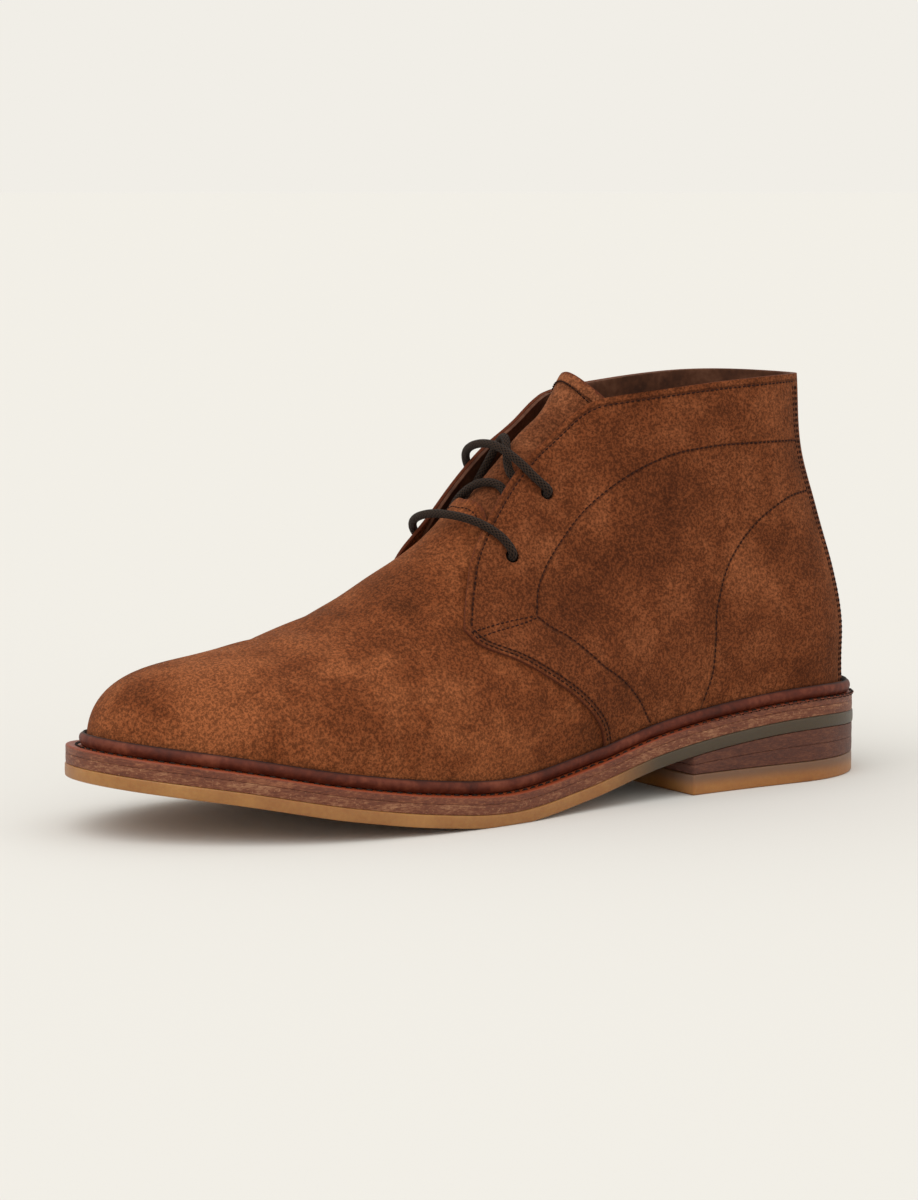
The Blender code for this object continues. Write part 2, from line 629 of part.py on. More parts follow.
# Lace path as share of LAST_LENGTH, angle around the crown and lift off the last: from its end under the far
# facing, across to the near low eyelet, over to the far low one, under the far facing, across to the near top
# one, and over to the far top one
def lace_rows():
    low_share, low_angle = EYELETS[0]
    top_share, top_angle = EYELETS[1]
    inside = LACE_INSIDE_LIFT
    near = LACE_NEAR_LIFT
    far = LACE_FAR_LIFT
    over = LACE_OVER_LIFT
    near_middle = (inside + near) / 2.0
    far_middle = (inside + far) / 2.0
    far_low = 180.0 - low_angle
    far_top = 180.0 - top_angle
    return (
        (low_share + 0.0022, far_low - 13.0, inside + 0.0009),
        (low_share + 0.0026, 107.0, inside + 0.0008),
        (low_share + 0.0022, 101.0, inside + 0.0006),
        (low_share + 0.0004, 94.0, inside + 0.0005),
        (low_share - 0.0035, 87.0, inside + 0.0004),
        (low_share - 0.0095, 80.0, inside + 0.0001),
        (low_share - 0.0150, 74.0, inside),
        (low_share - 0.0160, 69.0, inside - 0.0002),
        (low_share - 0.0115, 64.0, inside - 0.0004),
        (low_share - 0.0045, low_angle + 4.0, inside - 0.0003),
        (low_share, low_angle - 0.8, inside - 0.0006),
        (low_share, low_angle, near_middle),
        (low_share, low_angle, near),
        (low_share + 0.0035, low_angle + 4.0, near + 0.0002),
        (low_share + 0.0095, low_angle + 8.3, near + 0.0004),
        (low_share + 0.0180, low_angle + 13.9, near + 0.0006),
        (low_share + 0.0265, 74.6, near + 0.0008),
        (low_share + 0.0360, 82.7, near + 0.0010),
        (low_share + 0.0400, 91.0, over - 0.0009),
        (low_share + 0.0405, 98.0, over - 0.0005),
        (low_share + 0.0380, 105.0, over + 0.0003),
        (low_share + 0.0315, 111.5, over + 0.0005),
        (low_share + 0.0215, far_low - 7.5, over),
        (low_share + 0.0100, far_low - 3.2, far + 0.0002),
        (low_share, far_low, far - 0.0003),
        (low_share, far_low, far_middle),
        (low_share, far_low, inside + 0.0002),
        (low_share - 0.0160, far_low - 5.0, inside + 0.0003),
        (top_share + 0.0150, far_low - 15.0, inside + 0.0010),
        (top_share + 0.0090, 98.0, inside + 0.0015),
        (top_share + 0.0130, 91.5, inside + 0.0013),
        (top_share + 0.0200, 85.5, inside + 0.0010),
        (top_share + 0.0280, 80.0, inside + 0.0005),
        (top_share + 0.0315, 75.0, inside + 0.0001),
        (top_share + 0.0270, 70.5, inside - 0.0001),
        (top_share + 0.0170, 66.0, inside - 0.0001),
        (top_share + 0.0070, 62.5, inside - 0.0001),
        (top_share, top_angle - 0.8, inside - 0.0003),
        (top_share, top_angle, near_middle),
        (top_share, top_angle, near),
        (top_share + 0.0055, top_angle + 2.2, near + 0.0002),
        (top_share + 0.0125, top_angle + 5.3, near + 0.0004),
        (top_share + 0.0195, 70.4, near + 0.0006),
        (top_share + 0.0250, 76.7, near + 0.0008),
        (top_share + 0.0280, 82.7, near + 0.0011),
        (top_share + 0.0300, 88.8, over - 0.0010),
        (top_share + 0.0310, 95.0, over - 0.0005),
        (top_share + 0.0290, 102.0, over + 0.0002),
        (top_share + 0.0235, 108.5, over + 0.0005),
        (top_share + 0.0150, far_top - 6.5, over),
        (top_share + 0.0070, far_top - 2.5, far + 0.0002),
        (top_share, far_top, far - 0.0003),
        (top_share, far_top, far_middle),
        (top_share, far_top, far_middle - 0.0014),
    )


def build_lace(material):
    control = np.array([lace_point(*row) for row in lace_rows()])
    return tube("lace", spline(control, 2), LACE_DIAMETER, LACE_SIDES, material)


def build_insole(material):
    def offset(along):
        return inner_shift(along) - VAMP_THICKNESS - INSOLE_GAP

    def high(along):
        return welt_top(along) + INSOLE_TOP

    def low(along):
        return high(along) - INSOLE_THICKNESS

    return slab("insole", edge_loops(offset, low, high), material)


def build_welt(material):
    def inner(along):
        return inner_shift(along) - VAMP_THICKNESS

    def bead_in(along):
        return BEAD_GAP + outer_shift(along)

    def bead_out(along):
        return bead_in(along) + BEAD_THICKNESS

    belly = 0.9 * BEAD_HEIGHT / BELLY_HEIGHT
    section = (
        (inner, -WELT_THICKNESS, 0.0),
        (margin, -WELT_THICKNESS, 0.0),
        (margin, -EDGE_ROUND, 0.0),
        (lambda s: margin(s) - EDGE_ROUND, 0.0, 0.0),
        (bead_out, 0.0, 0.0),
        (lambda s: bead_out(s) - 0.2 * EDGE_ROUND, 0.75 * BEAD_HEIGHT, belly),
        (lambda s: (bead_in(s) + bead_out(s)) / 2.0, BEAD_HEIGHT, belly),
        (bead_in, 0.9 * BEAD_HEIGHT, belly),
        (bead_in, 0.0, 0.0),
        (inner, 0.0, 0.0),
    )
    loops = []
    for offset, height, lean in section:
        reach = lambda s, o=offset, k=lean: o(s) + k * foot(s, "belly") * BALL_WIDTH
        plan = level_loop(0.0, reach)
        loops.append(np.column_stack([plan, welt_top(plan[:, 0]) + height]))
    points = np.concatenate(loops)
    return make_object("welt", points, loops_between(loops, True), material)


def build_midsole(material):
    def low(along):
        return midsole_top(along) - MIDSOLE_THICKNESS

    return slab("midsole", edge_loops(margin, low, midsole_top), material)


def build_outsole(material):
    def offset(along):
        return margin(along) + SOLE_STEP

    return slab("outsole", edge_loops(offset, outsole_bottom, outsole_top), material)


def heel_loops(low, high):
    # Loops of a heel lift: the sole's outline cut straight at the breast
    loops = []
    profile = ((-EDGE_ROUND, 0.0), (0.0, EDGE_ROUND), (0.0, -EDGE_ROUND), (-EDGE_ROUND, 0.0))
    for k, (reach, lift) in enumerate(profile):
        plan = level_loop(0.0, lambda s, extra=reach: margin(s) + extra)
        half = len(plan) // 2
        breast = HEEL_BREAST + reach
        keep = int(np.searchsorted(plan[: half + 1, 0], breast))
        side_rows = []
        for side in (plan[: half + 1], np.concatenate([plan[:1], plan[:half - 1:-1]])):
            corner = np.interp(breast, side[:, 0], side[:, 1])
            side_rows.append(np.concatenate([side[:keep], [[breast, corner]]]))
        loop = np.concatenate([side_rows[0], side_rows[1][:0:-1]])
        where = np.minimum(loop[:, 0], breast)
        height = (low(where) if k < 2 else high(where)) + lift
        loops.append(np.column_stack([loop, height]))
    return loops


def heel_slab(name, low, high, material):
    loops = heel_loops(low, high)
    count = len(loops[0])
    side = (count + 1) // 2
    faces = loops_between(loops, False)
    for first in (0, (len(loops) - 1) * count):
        faces.append((first, first + 1, first + count - 1))
        for j in range(1, side - 1):
            faces.append((first + j, first + j + 1, first + count - j - 1, first + count - j))
    return make_object(name, np.concatenate(loops), faces, material)


def heel_level(share):
    # Height inside the heel stack, from the top lift to the outsole
    def height(along):
        low = TOP_LIFT_THICKNESS
        return low + share * (outsole_top(along) - OUTSOLE_THICKNESS - low)

    return height


def build_heel(leather, rubber):
    middle = heel_level(0.5)

    def floor(along):
        return 0.0 * along

    def top(along):
        return floor(along) + TOP_LIFT_THICKNESS

    heel_slab("top_lift", floor, top, rubber)
    heel_slab("heel_lift_lower", lambda s: top(s) + LAYER_GAP, middle, leather)
    heel_slab("heel_lift_upper", lambda s: middle(s) + LAYER_GAP, lambda s: heel_level(1.0)(s) - LAYER_GAP, leather)


def build():
    clear_scene()
    paint = {}
    for name, colour in COLOURS.items():
        paint[name] = make_material(name, colour, 0.9 if name in ("suede", "lace") else 0.6)
    upper = build_vamp(paint["suede"])
    add_boolean(upper, build_quarters(paint["suede"]), "UNION")
    add_boolean(upper, build_eyelet_cutter(paint["suede"]), "DIFFERENCE")
    build_tongue(make_material("tongue_suede", COLOURS["suede"], 0.9))
    build_insole(paint["insole_leather"])
    build_welt(paint["welt_leather"])
    build_midsole(paint["midsole_leather"])
    build_outsole(paint["gum_rubber"])
    build_heel(paint["heel_leather"], paint["lift_rubber"])
    build_lace(paint["lace"])


build()
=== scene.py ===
# %% [markdown]
# # A suede chukka boot
# One left boot: a vamp and two quarters of brown suede, a leather lining and tongue, a round lace, and a
# sole of welt, midsole, gum rubber and a stacked heel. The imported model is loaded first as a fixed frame,
# and every piece made here lies where its solid lies. Lengths are in metres; the toe points to -Y and the
# outer side to +X.

# %% Load the frame
import math

import bmesh
import bpy
import numpy as np
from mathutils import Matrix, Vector


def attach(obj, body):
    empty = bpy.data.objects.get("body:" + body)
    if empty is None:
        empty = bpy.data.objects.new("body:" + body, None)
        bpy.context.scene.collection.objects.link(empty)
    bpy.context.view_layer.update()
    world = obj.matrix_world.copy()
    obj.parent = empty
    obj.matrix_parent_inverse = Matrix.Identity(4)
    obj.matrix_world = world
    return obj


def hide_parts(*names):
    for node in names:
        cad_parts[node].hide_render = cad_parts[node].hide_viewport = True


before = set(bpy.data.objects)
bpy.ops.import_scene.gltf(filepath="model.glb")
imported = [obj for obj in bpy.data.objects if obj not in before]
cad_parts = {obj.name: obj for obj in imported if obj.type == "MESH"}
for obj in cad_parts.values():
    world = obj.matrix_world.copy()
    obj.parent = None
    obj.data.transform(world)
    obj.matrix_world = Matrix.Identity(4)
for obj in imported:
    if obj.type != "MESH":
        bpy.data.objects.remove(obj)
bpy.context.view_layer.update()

# %% [markdown]
# ## The last
# A boot is pulled over a last, a foot shaped block, so almost every surface here is the last's surface
# moved out or in by a leather's thickness. The block could be sculpted, but then nothing else would fit it.
# Instead its widths, heights and curves are tables along the foot, joined by cubic curves, and each piece
# asks the same functions. A place on the last is given by how far along it is from the heel and by the
# angle around the crown: 0 is the feather line (where upper meets sole) on the outer side, 90 the ridge,
# 180 the feather line on the inner side.

# %% Sizes of the last
LAST_LENGTH = 0.292
BALL_WIDTH = 0.0888
INSTEP_HEIGHT = 0.0834
HEEL_HEIGHT = 0.0283
COLLAR_HEIGHT = 0.1125
ANKLE_HEIGHT = 0.062
BELLY_HEIGHT = 0.024
HEEL_ROUND, HEEL_ROUND_POWER = 0.0353, 2.16
TOE_ROUND, TOE_ROUND_POWER = 0.0622, 2.06
RIDGE_ROUND, RIDGE_ROUND_POWER = 0.0509, 2.44

FOOT_COLUMNS = (
    "share", "lateral", "medial", "axis", "feather", "power", "belly", "ankle", "collar", "margin",
)
FOOT_ROWS = np.array((
    (0.00, 0.339, 0.338, 0.002, 0.985, 1.57, 0.028, 0.323, 0.297, 0.0512),
    (0.10, 0.344, 0.349, -0.001, 1.030, 1.51, 0.031, 0.338, 0.319, 0.0495),
    (0.22, 0.348, 0.338, -0.002, 0.950, 1.60, 0.033, 0.350, 0.346, 0.0512),
    (0.34, 0.366, 0.304, -0.002, 0.775, 1.55, 0.045, 0.382, 0.382, 0.0608),
    (0.46, 0.417, 0.315, 0.000, 0.500, 1.42, 0.056, 0.406, 0.383, 0.0642),
    (0.58, 0.494, 0.394, 0.002, 0.362, 1.54, 0.056, 0.496, 0.496, 0.0687),
    (0.68, 0.527, 0.462, -0.010, 0.448, 1.80, 0.051, 0.541, 0.541, 0.0721),
    (0.78, 0.519, 0.473, -0.034, 0.602, 2.01, 0.039, 0.541, 0.541, 0.0738),
    (0.90, 0.462, 0.450, -0.068, 0.838, 2.09, 0.021, 0.473, 0.473, 0.0743),
    (1.00, 0.404, 0.405, -0.090, 0.992, 2.30, 0.007, 0.406, 0.405, 0.0766),
))
RIDGE_ROWS = np.array((
    (0.00, 4.80), (0.15, 3.60), (0.25, 2.578), (0.35, 1.810), (0.42, 1.465), (0.48, 1.305), (0.51, 1.200),
    (0.54, 1.077), (0.57, 0.981), (0.60, 0.907), (0.64, 0.816), (0.68, 0.716), (0.76, 0.561), (0.86, 0.415),
    (1.00, 0.356),
))
BACK_ROWS = np.array((
    (0.00, 0.0087), (0.11, 0.0128), (0.23, 0.0146), (0.40, 0.0264), (0.58, 0.0473), (0.76, 0.0686),
    (1.00, 0.0746),
))


def cubic(t, width, low, high, low_slope, high_slope):
    """Cubic curve between two values that are a width apart, at a share t of it, with a slope at each end."""
    rise = (-2 * t**3 + 3 * t**2) * (high - low)
    bend = (t**3 - 2 * t**2 + t) * width * low_slope + (t**3 - t**2) * width * high_slope
    return low + rise + bend


def smooth(x, table, column=1):
    """Cubic curves through a table's rows: each slope is that of the neighbours, and the ends are held."""
    xs, ys = table[:, 0], table[:, column]
    slopes = np.gradient(ys, xs)
    x = np.clip(x, xs[0], xs[-1])
    i = np.clip(np.searchsorted(xs, x, side="right") - 1, 0, len(xs) - 2)
    width = xs[i + 1] - xs[i]
    return cubic((x - xs[i]) / width, width, ys[i], ys[i + 1], slopes[i], slopes[i + 1])


def ease(x):
    """Soft step: 0 below 0, 1 above 1, and three squares less two cubes between."""
    t = np.clip(x, 0.0, 1.0)
    return t * t * (3.0 - 2.0 * t)


def foot(along, name):
    """A named column of the foot table at a place along the last."""
    return smooth(np.asarray(along) / LAST_LENGTH, FOOT_ROWS, FOOT_COLUMNS.index(name))


# %% The last's surface
def feather_height(along):
    """Height of the feather line: the table's curve, carried on straight past the heel and the toe."""
    step = 0.01 * LAST_LENGTH
    heel_slope = (foot(step, "feather") - foot(0.0, "feather")) / step
    toe_slope = (foot(LAST_LENGTH, "feather") - foot(LAST_LENGTH - step, "feather")) / step
    beyond = np.minimum(along, 0.0) * heel_slope + np.maximum(along - LAST_LENGTH, 0.0) * toe_slope
    return (foot(along, "feather") + beyond) * HEEL_HEIGHT


def back_set_in(level):
    """How far the heel's back lies in front of the last's end at a height."""
    return smooth(level / COLLAR_HEIGHT, BACK_ROWS) * LAST_LENGTH


def ridge_height(along):
    """Height of the ridge over the feather line: the table's curve, closed to nothing at the tip as an
    ellipse is."""
    near_tip = np.clip((along - (LAST_LENGTH - RIDGE_ROUND)) / RIDGE_ROUND, 0.0, 1.0)
    body = smooth(along / LAST_LENGTH, RIDGE_ROWS) * INSTEP_HEIGHT
    return body * (1.0 - near_tip**RIDGE_ROUND_POWER) ** (1.0 / RIDGE_ROUND_POWER)


def half_width(along, level, side):
    """Width of one side at a height: a cubic curve up through the feather, belly, ankle and collar widths."""
    base = np.where(side > 0, foot(along, "lateral"), foot(along, "medial"))
    widths = (base, base + foot(along, "belly"), foot(along, "ankle"), foot(along, "collar"))
    levels = (0.0, BELLY_HEIGHT, ANKLE_HEIGHT, COLLAR_HEIGHT)
    runs = [(widths[k + 1] - widths[k]) / (levels[k + 1] - levels[k]) for k in range(3)]
    slopes = [runs[0]]
    for k in (1, 2):
        low_span, high_span = levels[k] - levels[k - 1], levels[k + 1] - levels[k]
        slopes.append((runs[k - 1] * high_span + runs[k] * low_span) / (low_span + high_span))
    slopes.append(runs[2])
    result = widths[0] + np.zeros_like(level)
    for k in range(3):
        span = levels[k + 1] - levels[k]
        t = np.clip((level - levels[k]) / span, 0.0, 1.0)
        piece = cubic(t, span, widths[k], widths[k + 1], slopes[k], slopes[k + 1])
        result = np.where(level >= levels[k], piece, result)
    return result * BALL_WIDTH


def end_rounding(along, level):
    """Share of the width left near the ends: a rounded ellipse at the heel times one at the toe."""
    from_back = np.clip((along - back_set_in(level)) / HEEL_ROUND, 0.0, 1.0)
    near_tip = np.clip((along - (LAST_LENGTH - TOE_ROUND)) / TOE_ROUND, 0.0, 1.0)
    heel = (1.0 - (1.0 - from_back) ** HEEL_ROUND_POWER) ** (1.0 / HEEL_ROUND_POWER)
    return heel * (1.0 - near_tip**TOE_ROUND_POWER) ** (1.0 / TOE_ROUND_POWER)


def off_axis(along, reach, level):
    """Point at a reach from the foot's axis and a level over the feather line."""
    return np.stack([along, foot(along, "axis") * BALL_WIDTH + reach, feather_height(along) + level], axis=-1)


def last_point(along, level, side):
    """Point by its height: the side's width, narrowed by the crown as the ridge comes near."""
    share = np.clip(level / np.maximum(ridge_height(along), 1e-6), 0.0, 1.0)
    crown = np.sqrt(1.0 - share ** foot(along, "power"))
    return off_axis(along, side * half_width(along, level, side) * crown * end_rounding(along, level), level)


def crown_level(along, angle):
    """Height at an angle around the crown: the ridge height times a power of the sine."""
    return ridge_height(along) * np.sin(np.radians(angle)) ** (2.0 / foot(along, "power"))


def crown_point(along, angle):
    """Point by its angle around the crown: the height of that angle, and the cosine of the side's width."""
    level = crown_level(along, angle)
    side = np.where(angle <= 90.0, 1.0, -1.0)
    reach = np.cos(np.radians(angle)) * half_width(along, level, side) * end_rounding(along, level)
    return off_axis(along, reach, level)


def crown_angle(along, level, side):
    """The angle of a height: the crown's sine power turned round, counted from the other side where side is
    -1."""
    share = np.clip(level / np.maximum(ridge_height(along), 1e-6), 0.0, 1.0)
    angle = np.degrees(np.arcsin(np.sqrt(share ** foot(along, "power"))))
    return np.where(np.asarray(side) > 0, angle, 180.0 - angle)


def unit(vectors):
    """Vectors shortened or drawn out to length one."""
    return vectors / np.maximum(np.linalg.norm(vectors, axis=-1, keepdims=True), 1e-12)


def crown_frame(along, angle):
    """Point and outward normal: the cross product of a small step around the crown and one along it."""
    angle = np.clip(angle, 1.0, 179.0)
    over = crown_point(along, angle + 0.5) - crown_point(along, angle - 0.5)
    onward = crown_point(along + 0.0004, angle) - crown_point(along - 0.0004, angle)
    return crown_point(along, angle), unit(np.cross(over, onward))


def sheet_normals(points, centre):
    """Normals of a grid of points, from its two directions, all turned away from a centre."""
    normals = unit(np.cross(np.gradient(points, axis=0), np.gradient(points, axis=1)))
    return normals if np.sum((points - centre) * normals) > 0.0 else -normals


def level_loop(offset, stations=190):
    """Closed plan contour of the feather line moved outwards by offset, which is a function of the place
    along."""
    turn = (1.0 - np.cos(np.pi * np.linspace(0.0, 1.0, stations + 1))) / 2.0
    heel = float(back_set_in(0.0))
    along = heel + (LAST_LENGTH - heel) * turn
    level = np.zeros_like(along)
    lateral = last_point(along, level, np.ones_like(along))
    medial = last_point(along, level, -np.ones_like(along))
    loop = np.concatenate([lateral, medial[-2:0:-1]])
    station = np.concatenate([along, along[-2:0:-1]])
    tangent = np.roll(loop, -1, axis=0) - np.roll(loop, 1, axis=0)
    normal = unit(np.stack([-tangent[:, 1], tangent[:, 0]], axis=-1))
    return loop[:, :2] + normal * offset(station)[:, None]


CENTRE_ALONG, CENTRE_ACROSS = 0.1484050, 0.0001891


def place(points):
    """Along, across and up to world X, Y and Z."""
    return np.stack([points[..., 1] - CENTRE_ACROSS, CENTRE_ALONG - points[..., 0], points[..., 2]], axis=-1)


print("toe tip", place(crown_point(np.array([LAST_LENGTH]), np.array([90.0])))[0].round(4))

# %% [markdown]
# ## Meshes from grids
# Leather is a sheet, so most pieces are two grids of points, an outer and an inner face, closed by a rim.
# The rim is worked out too: leather cut with a knife has a slightly swollen edge, and that is what catches
# the light. A solidify modifier would give a square edge of one thickness, while two grids let the
# thickness change under a seam.

# %% Mesh helpers
def steps(count, low, high, pull=0.0):
    """Steps from low to high, even where pull is 0 and crowded towards both ends, as a cosine is, where it
    is 1."""
    t = np.linspace(0.0, 1.0, count)
    return low + (high - low) * ((1.0 - pull) * t + pull * (1.0 - np.cos(np.pi * t)) / 2.0)


def grid_faces(rows, columns, first=0, wrap=False):
    """Four sided faces of a grid numbered row by row from first, closed round its columns where wrap is
    true."""
    i = np.arange(rows - 1)[:, None] * columns + first
    j = np.arange(columns if wrap else columns - 1)[None, :]
    n = (j + 1) % columns
    return np.stack([i + j, i + n, i + columns + n, i + columns + j], axis=-1).reshape(-1, 4)


def lengths(points):
    """Way along a line of points to each of them, by its chords."""
    return np.concatenate([[0.0], np.cumsum(np.linalg.norm(np.diff(points, axis=0), axis=1))])


def sample(at, length, points):
    """Points, or other rows of numbers, read at ways along a line between those they were given for."""
    return np.column_stack([np.interp(at, length, column) for column in points.T])


def mark(mesh, name, values):
    """Stores one number a vertex on the mesh, for its material to read."""
    layer = mesh.attributes.new(name, "FLOAT", "POINT")
    layer.data.foreach_set("value", np.asarray(values, dtype=np.float32))


def make_piece(name, points, faces, pattern=None, merge=2e-6, **marks):
    """Object from points in last coordinates; doubles merged, faces turned outwards, shaded smooth."""
    mesh = bpy.data.meshes.new(name)
    mesh.from_pydata(place(points).tolist(), [], [list(face) for face in faces])
    for key, values in marks.items():
        mark(mesh, key, values)
    if pattern is not None:
        corners = np.zeros(len(mesh.loops), dtype=np.int32)
        mesh.loops.foreach_get("vertex_index", corners)
        mesh.uv_layers.new(name="pattern").data.foreach_set("uv", pattern[corners].ravel())
    work = bmesh.new()
    work.from_mesh(mesh)
    if merge:
        bmesh.ops.remove_doubles(work, verts=work.verts, dist=merge)
        bmesh.ops.dissolve_degenerate(work, edges=work.edges, dist=merge / 2.0)
    bmesh.ops.recalc_face_normals(work, faces=work.faces)
    if work.calc_volume(signed=True) < 0.0:
        bmesh.ops.reverse_faces(work, faces=work.faces)
    work.to_mesh(mesh)
    work.free()
    mesh.polygons.foreach_set("use_smooth", np.ones(len(mesh.polygons), dtype=bool))
    item = bpy.data.objects.new(name, mesh)
    bpy.context.scene.collection.objects.link(item)
    return item


RIM_TURNS = np.radians((22.0, 50.0, 90.0, 130.0, 158.0))


def sheet_piece(name, outer, inner, swell=0.35):
    """Closed sheet between two grids; the rim is a rounded square: powers of cosine and sine of a half
    turn."""
    rows, columns = outer.shape[:2]
    index = np.arange(rows * columns).reshape(rows, columns)
    border = np.concatenate([index[0, :], index[1:, -1], index[-1, -2::-1], index[-2:0:-1, 0]])
    within = np.concatenate([index[1, :], index[1:, -2], index[-2, -2::-1], index[-2:0:-1, 1]])
    face, back = outer.reshape(-1, 3), inner.reshape(-1, 3)
    middle = (face[border] + back[border]) / 2.0
    half = (face[border] - back[border]) / 2.0
    out = unit(face[border] - face[within]) * np.linalg.norm(half, axis=-1, keepdims=True) * swell
    loops = [face[border]]
    for turn in RIM_TURNS:
        across = np.sign(math.cos(turn)) * abs(math.cos(turn)) ** 0.7
        loops.append(middle + half * across + out * math.sin(turn) ** 0.7)
    loops.append(back[border])
    rim = np.concatenate(loops)
    count = rows * columns
    faces = [*grid_faces(rows, columns), *grid_faces(rows, columns, count)[:, ::-1]]
    faces += [*grid_faces(len(loops), len(border), 2 * count, wrap=True)]
    points = np.concatenate([face, back, rim])
    return make_piece(name, points, faces, rim=np.arange(len(points)) >= 2 * count)


def ring_piece(name, loops, **marks):
    """A profile carried round the sole: a stack of closed contours, joined in a ring."""
    count = len(loops[0])
    faces = grid_faces(len(loops), count, wrap=True)
    last = (len(loops) - 1) * count
    j = np.arange(count)
    closing = np.stack([last + j, last + (j + 1) % count, (j + 1) % count, j], axis=-1)
    marks = {key: np.repeat(values, count) for key, values in marks.items()}
    return make_piece(name, np.concatenate(loops), np.concatenate([faces, closing]), **marks)


def slab_piece(name, loops):
    """A layer of the sole: a stack of closed contours, filled by strips across at its bottom and top."""
    count = len(loops[0])
    faces = [list(face) for face in grid_faces(len(loops), count, wrap=True)]
    half = (count + 1) // 2
    for first in (0, (len(loops) - 1) * count):
        faces.append([first, first + 1, first + count - 1])
        j = first + np.arange(1, half - 1)
        other = 2 * first + count - j
        faces += np.stack([j, j + 1, other - 1, other], axis=-1).tolist()
        if count % 2 == 0:
            faces.append([first + half - 1, first + half, first + half + 1])
    return make_piece(name, np.concatenate(loops), faces)


def seats(item):
    """Along, across and up of an item's vertices, worked back from the world."""
    flat = np.zeros(len(item.data.vertices) * 3)
    item.data.vertices.foreach_get("co", flat)
    flat = flat.reshape(-1, 3)
    return np.stack([CENTRE_ALONG - flat[:, 1], flat[:, 0] + CENTRE_ACROSS, flat[:, 2]], axis=-1)


def wear(item, node, material):
    """Puts the material on, hangs the piece under the root body, and hides the imported solid that it
    stands for."""
    item.data.materials.clear()
    item.data.materials.append(material)
    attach(item, "root")
    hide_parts(node)
    print(f"{item.name}: {len(item.data.polygons)} faces")
    return item


print("mesh helpers ready")

# %% [markdown]
# ## Materials
# Suede is the flesh side of a hide, buffed until its fibres stand up. It has no gloss: fibres that lean one
# way look pale, fibres that lean the other way look dark, so a hand's stroke leaves clouds. Fibres seen
# edge on glow a little, which the shader's sheen does. An image would give the clouds too, but noise in
# real sizes has no seams and needs no file. Every colour is an sRGB hex value turned to linear by one
# function.

# %% Material helpers
def linear(text):
    """sRGB hex to linear RGBA by the standard curve."""
    parts = [int(text[i : i + 2], 16) / 255.0 for i in (1, 3, 5)]
    return (*[p / 12.92 if p <= 0.04045 else ((p + 0.055) / 1.055) ** 2.4 for p in parts], 1.0)


def add(tree, kind, *inputs, out=0, ramp=None, **settings):
    """Adds a node and returns one of its outputs. Settings are its properties, each of inputs is a pair of
    a socket and a number, a colour or another node's output, and ramp holds the places and colours of a
    colour ramp."""
    made = tree.nodes.new("ShaderNode" + kind)
    for key, value in settings.items():
        setattr(made, key, value)
    for socket, value in inputs:
        if isinstance(value, bpy.types.NodeSocket):
            tree.links.new(value, made.inputs[socket])
        else:
            made.inputs[socket].default_value = value
    if ramp:
        stops = made.color_ramp.elements
        while len(stops) < len(ramp):
            stops.new(0.5)
        for stop, (where, colour) in zip(stops, ramp):
            stop.position = where
            stop.color = linear(colour)
    return made.outputs[out]


def new_material(name, **sockets):
    """A material whose shader has these values on its own sockets, with its tree and shader."""
    material = bpy.data.materials.new(name)
    material.use_nodes = True
    shader = material.node_tree.nodes["Principled BSDF"]
    for key, value in sockets.items():
        shader.inputs[key.replace("_", " ")].default_value = value
    return material, material.node_tree, shader


def skin(tree, shader, colour, height, strength, distance=0.0004):
    """Gives the shader its colour, and a relief whose slopes come from a height."""
    tree.links.new(colour, shader.inputs["Base Color"])
    relief = add(tree, "Bump", ("Height", height), ("Strength", strength), ("Distance", distance))
    tree.links.new(relief, shader.inputs["Normal"])


# Blotches of Blender's noise are about 0.6 of a unit across, so this over a size in metres gives its scale
BLOTCH = 0.6
SOFT = {"interpolation_type": "SMOOTHSTEP"}
COLOURS = {"data_type": "RGBA"}

# %% Suede
# Sizes in metres: clouds that a hand leaves, single strokes, tufts of nap, and fibres as coarse as they show
CLOUD_SIZE = 0.026
STROKE_SIZE = 0.0095
TUFT_SIZE = 0.0012
FIBRE_SIZE = 0.00055


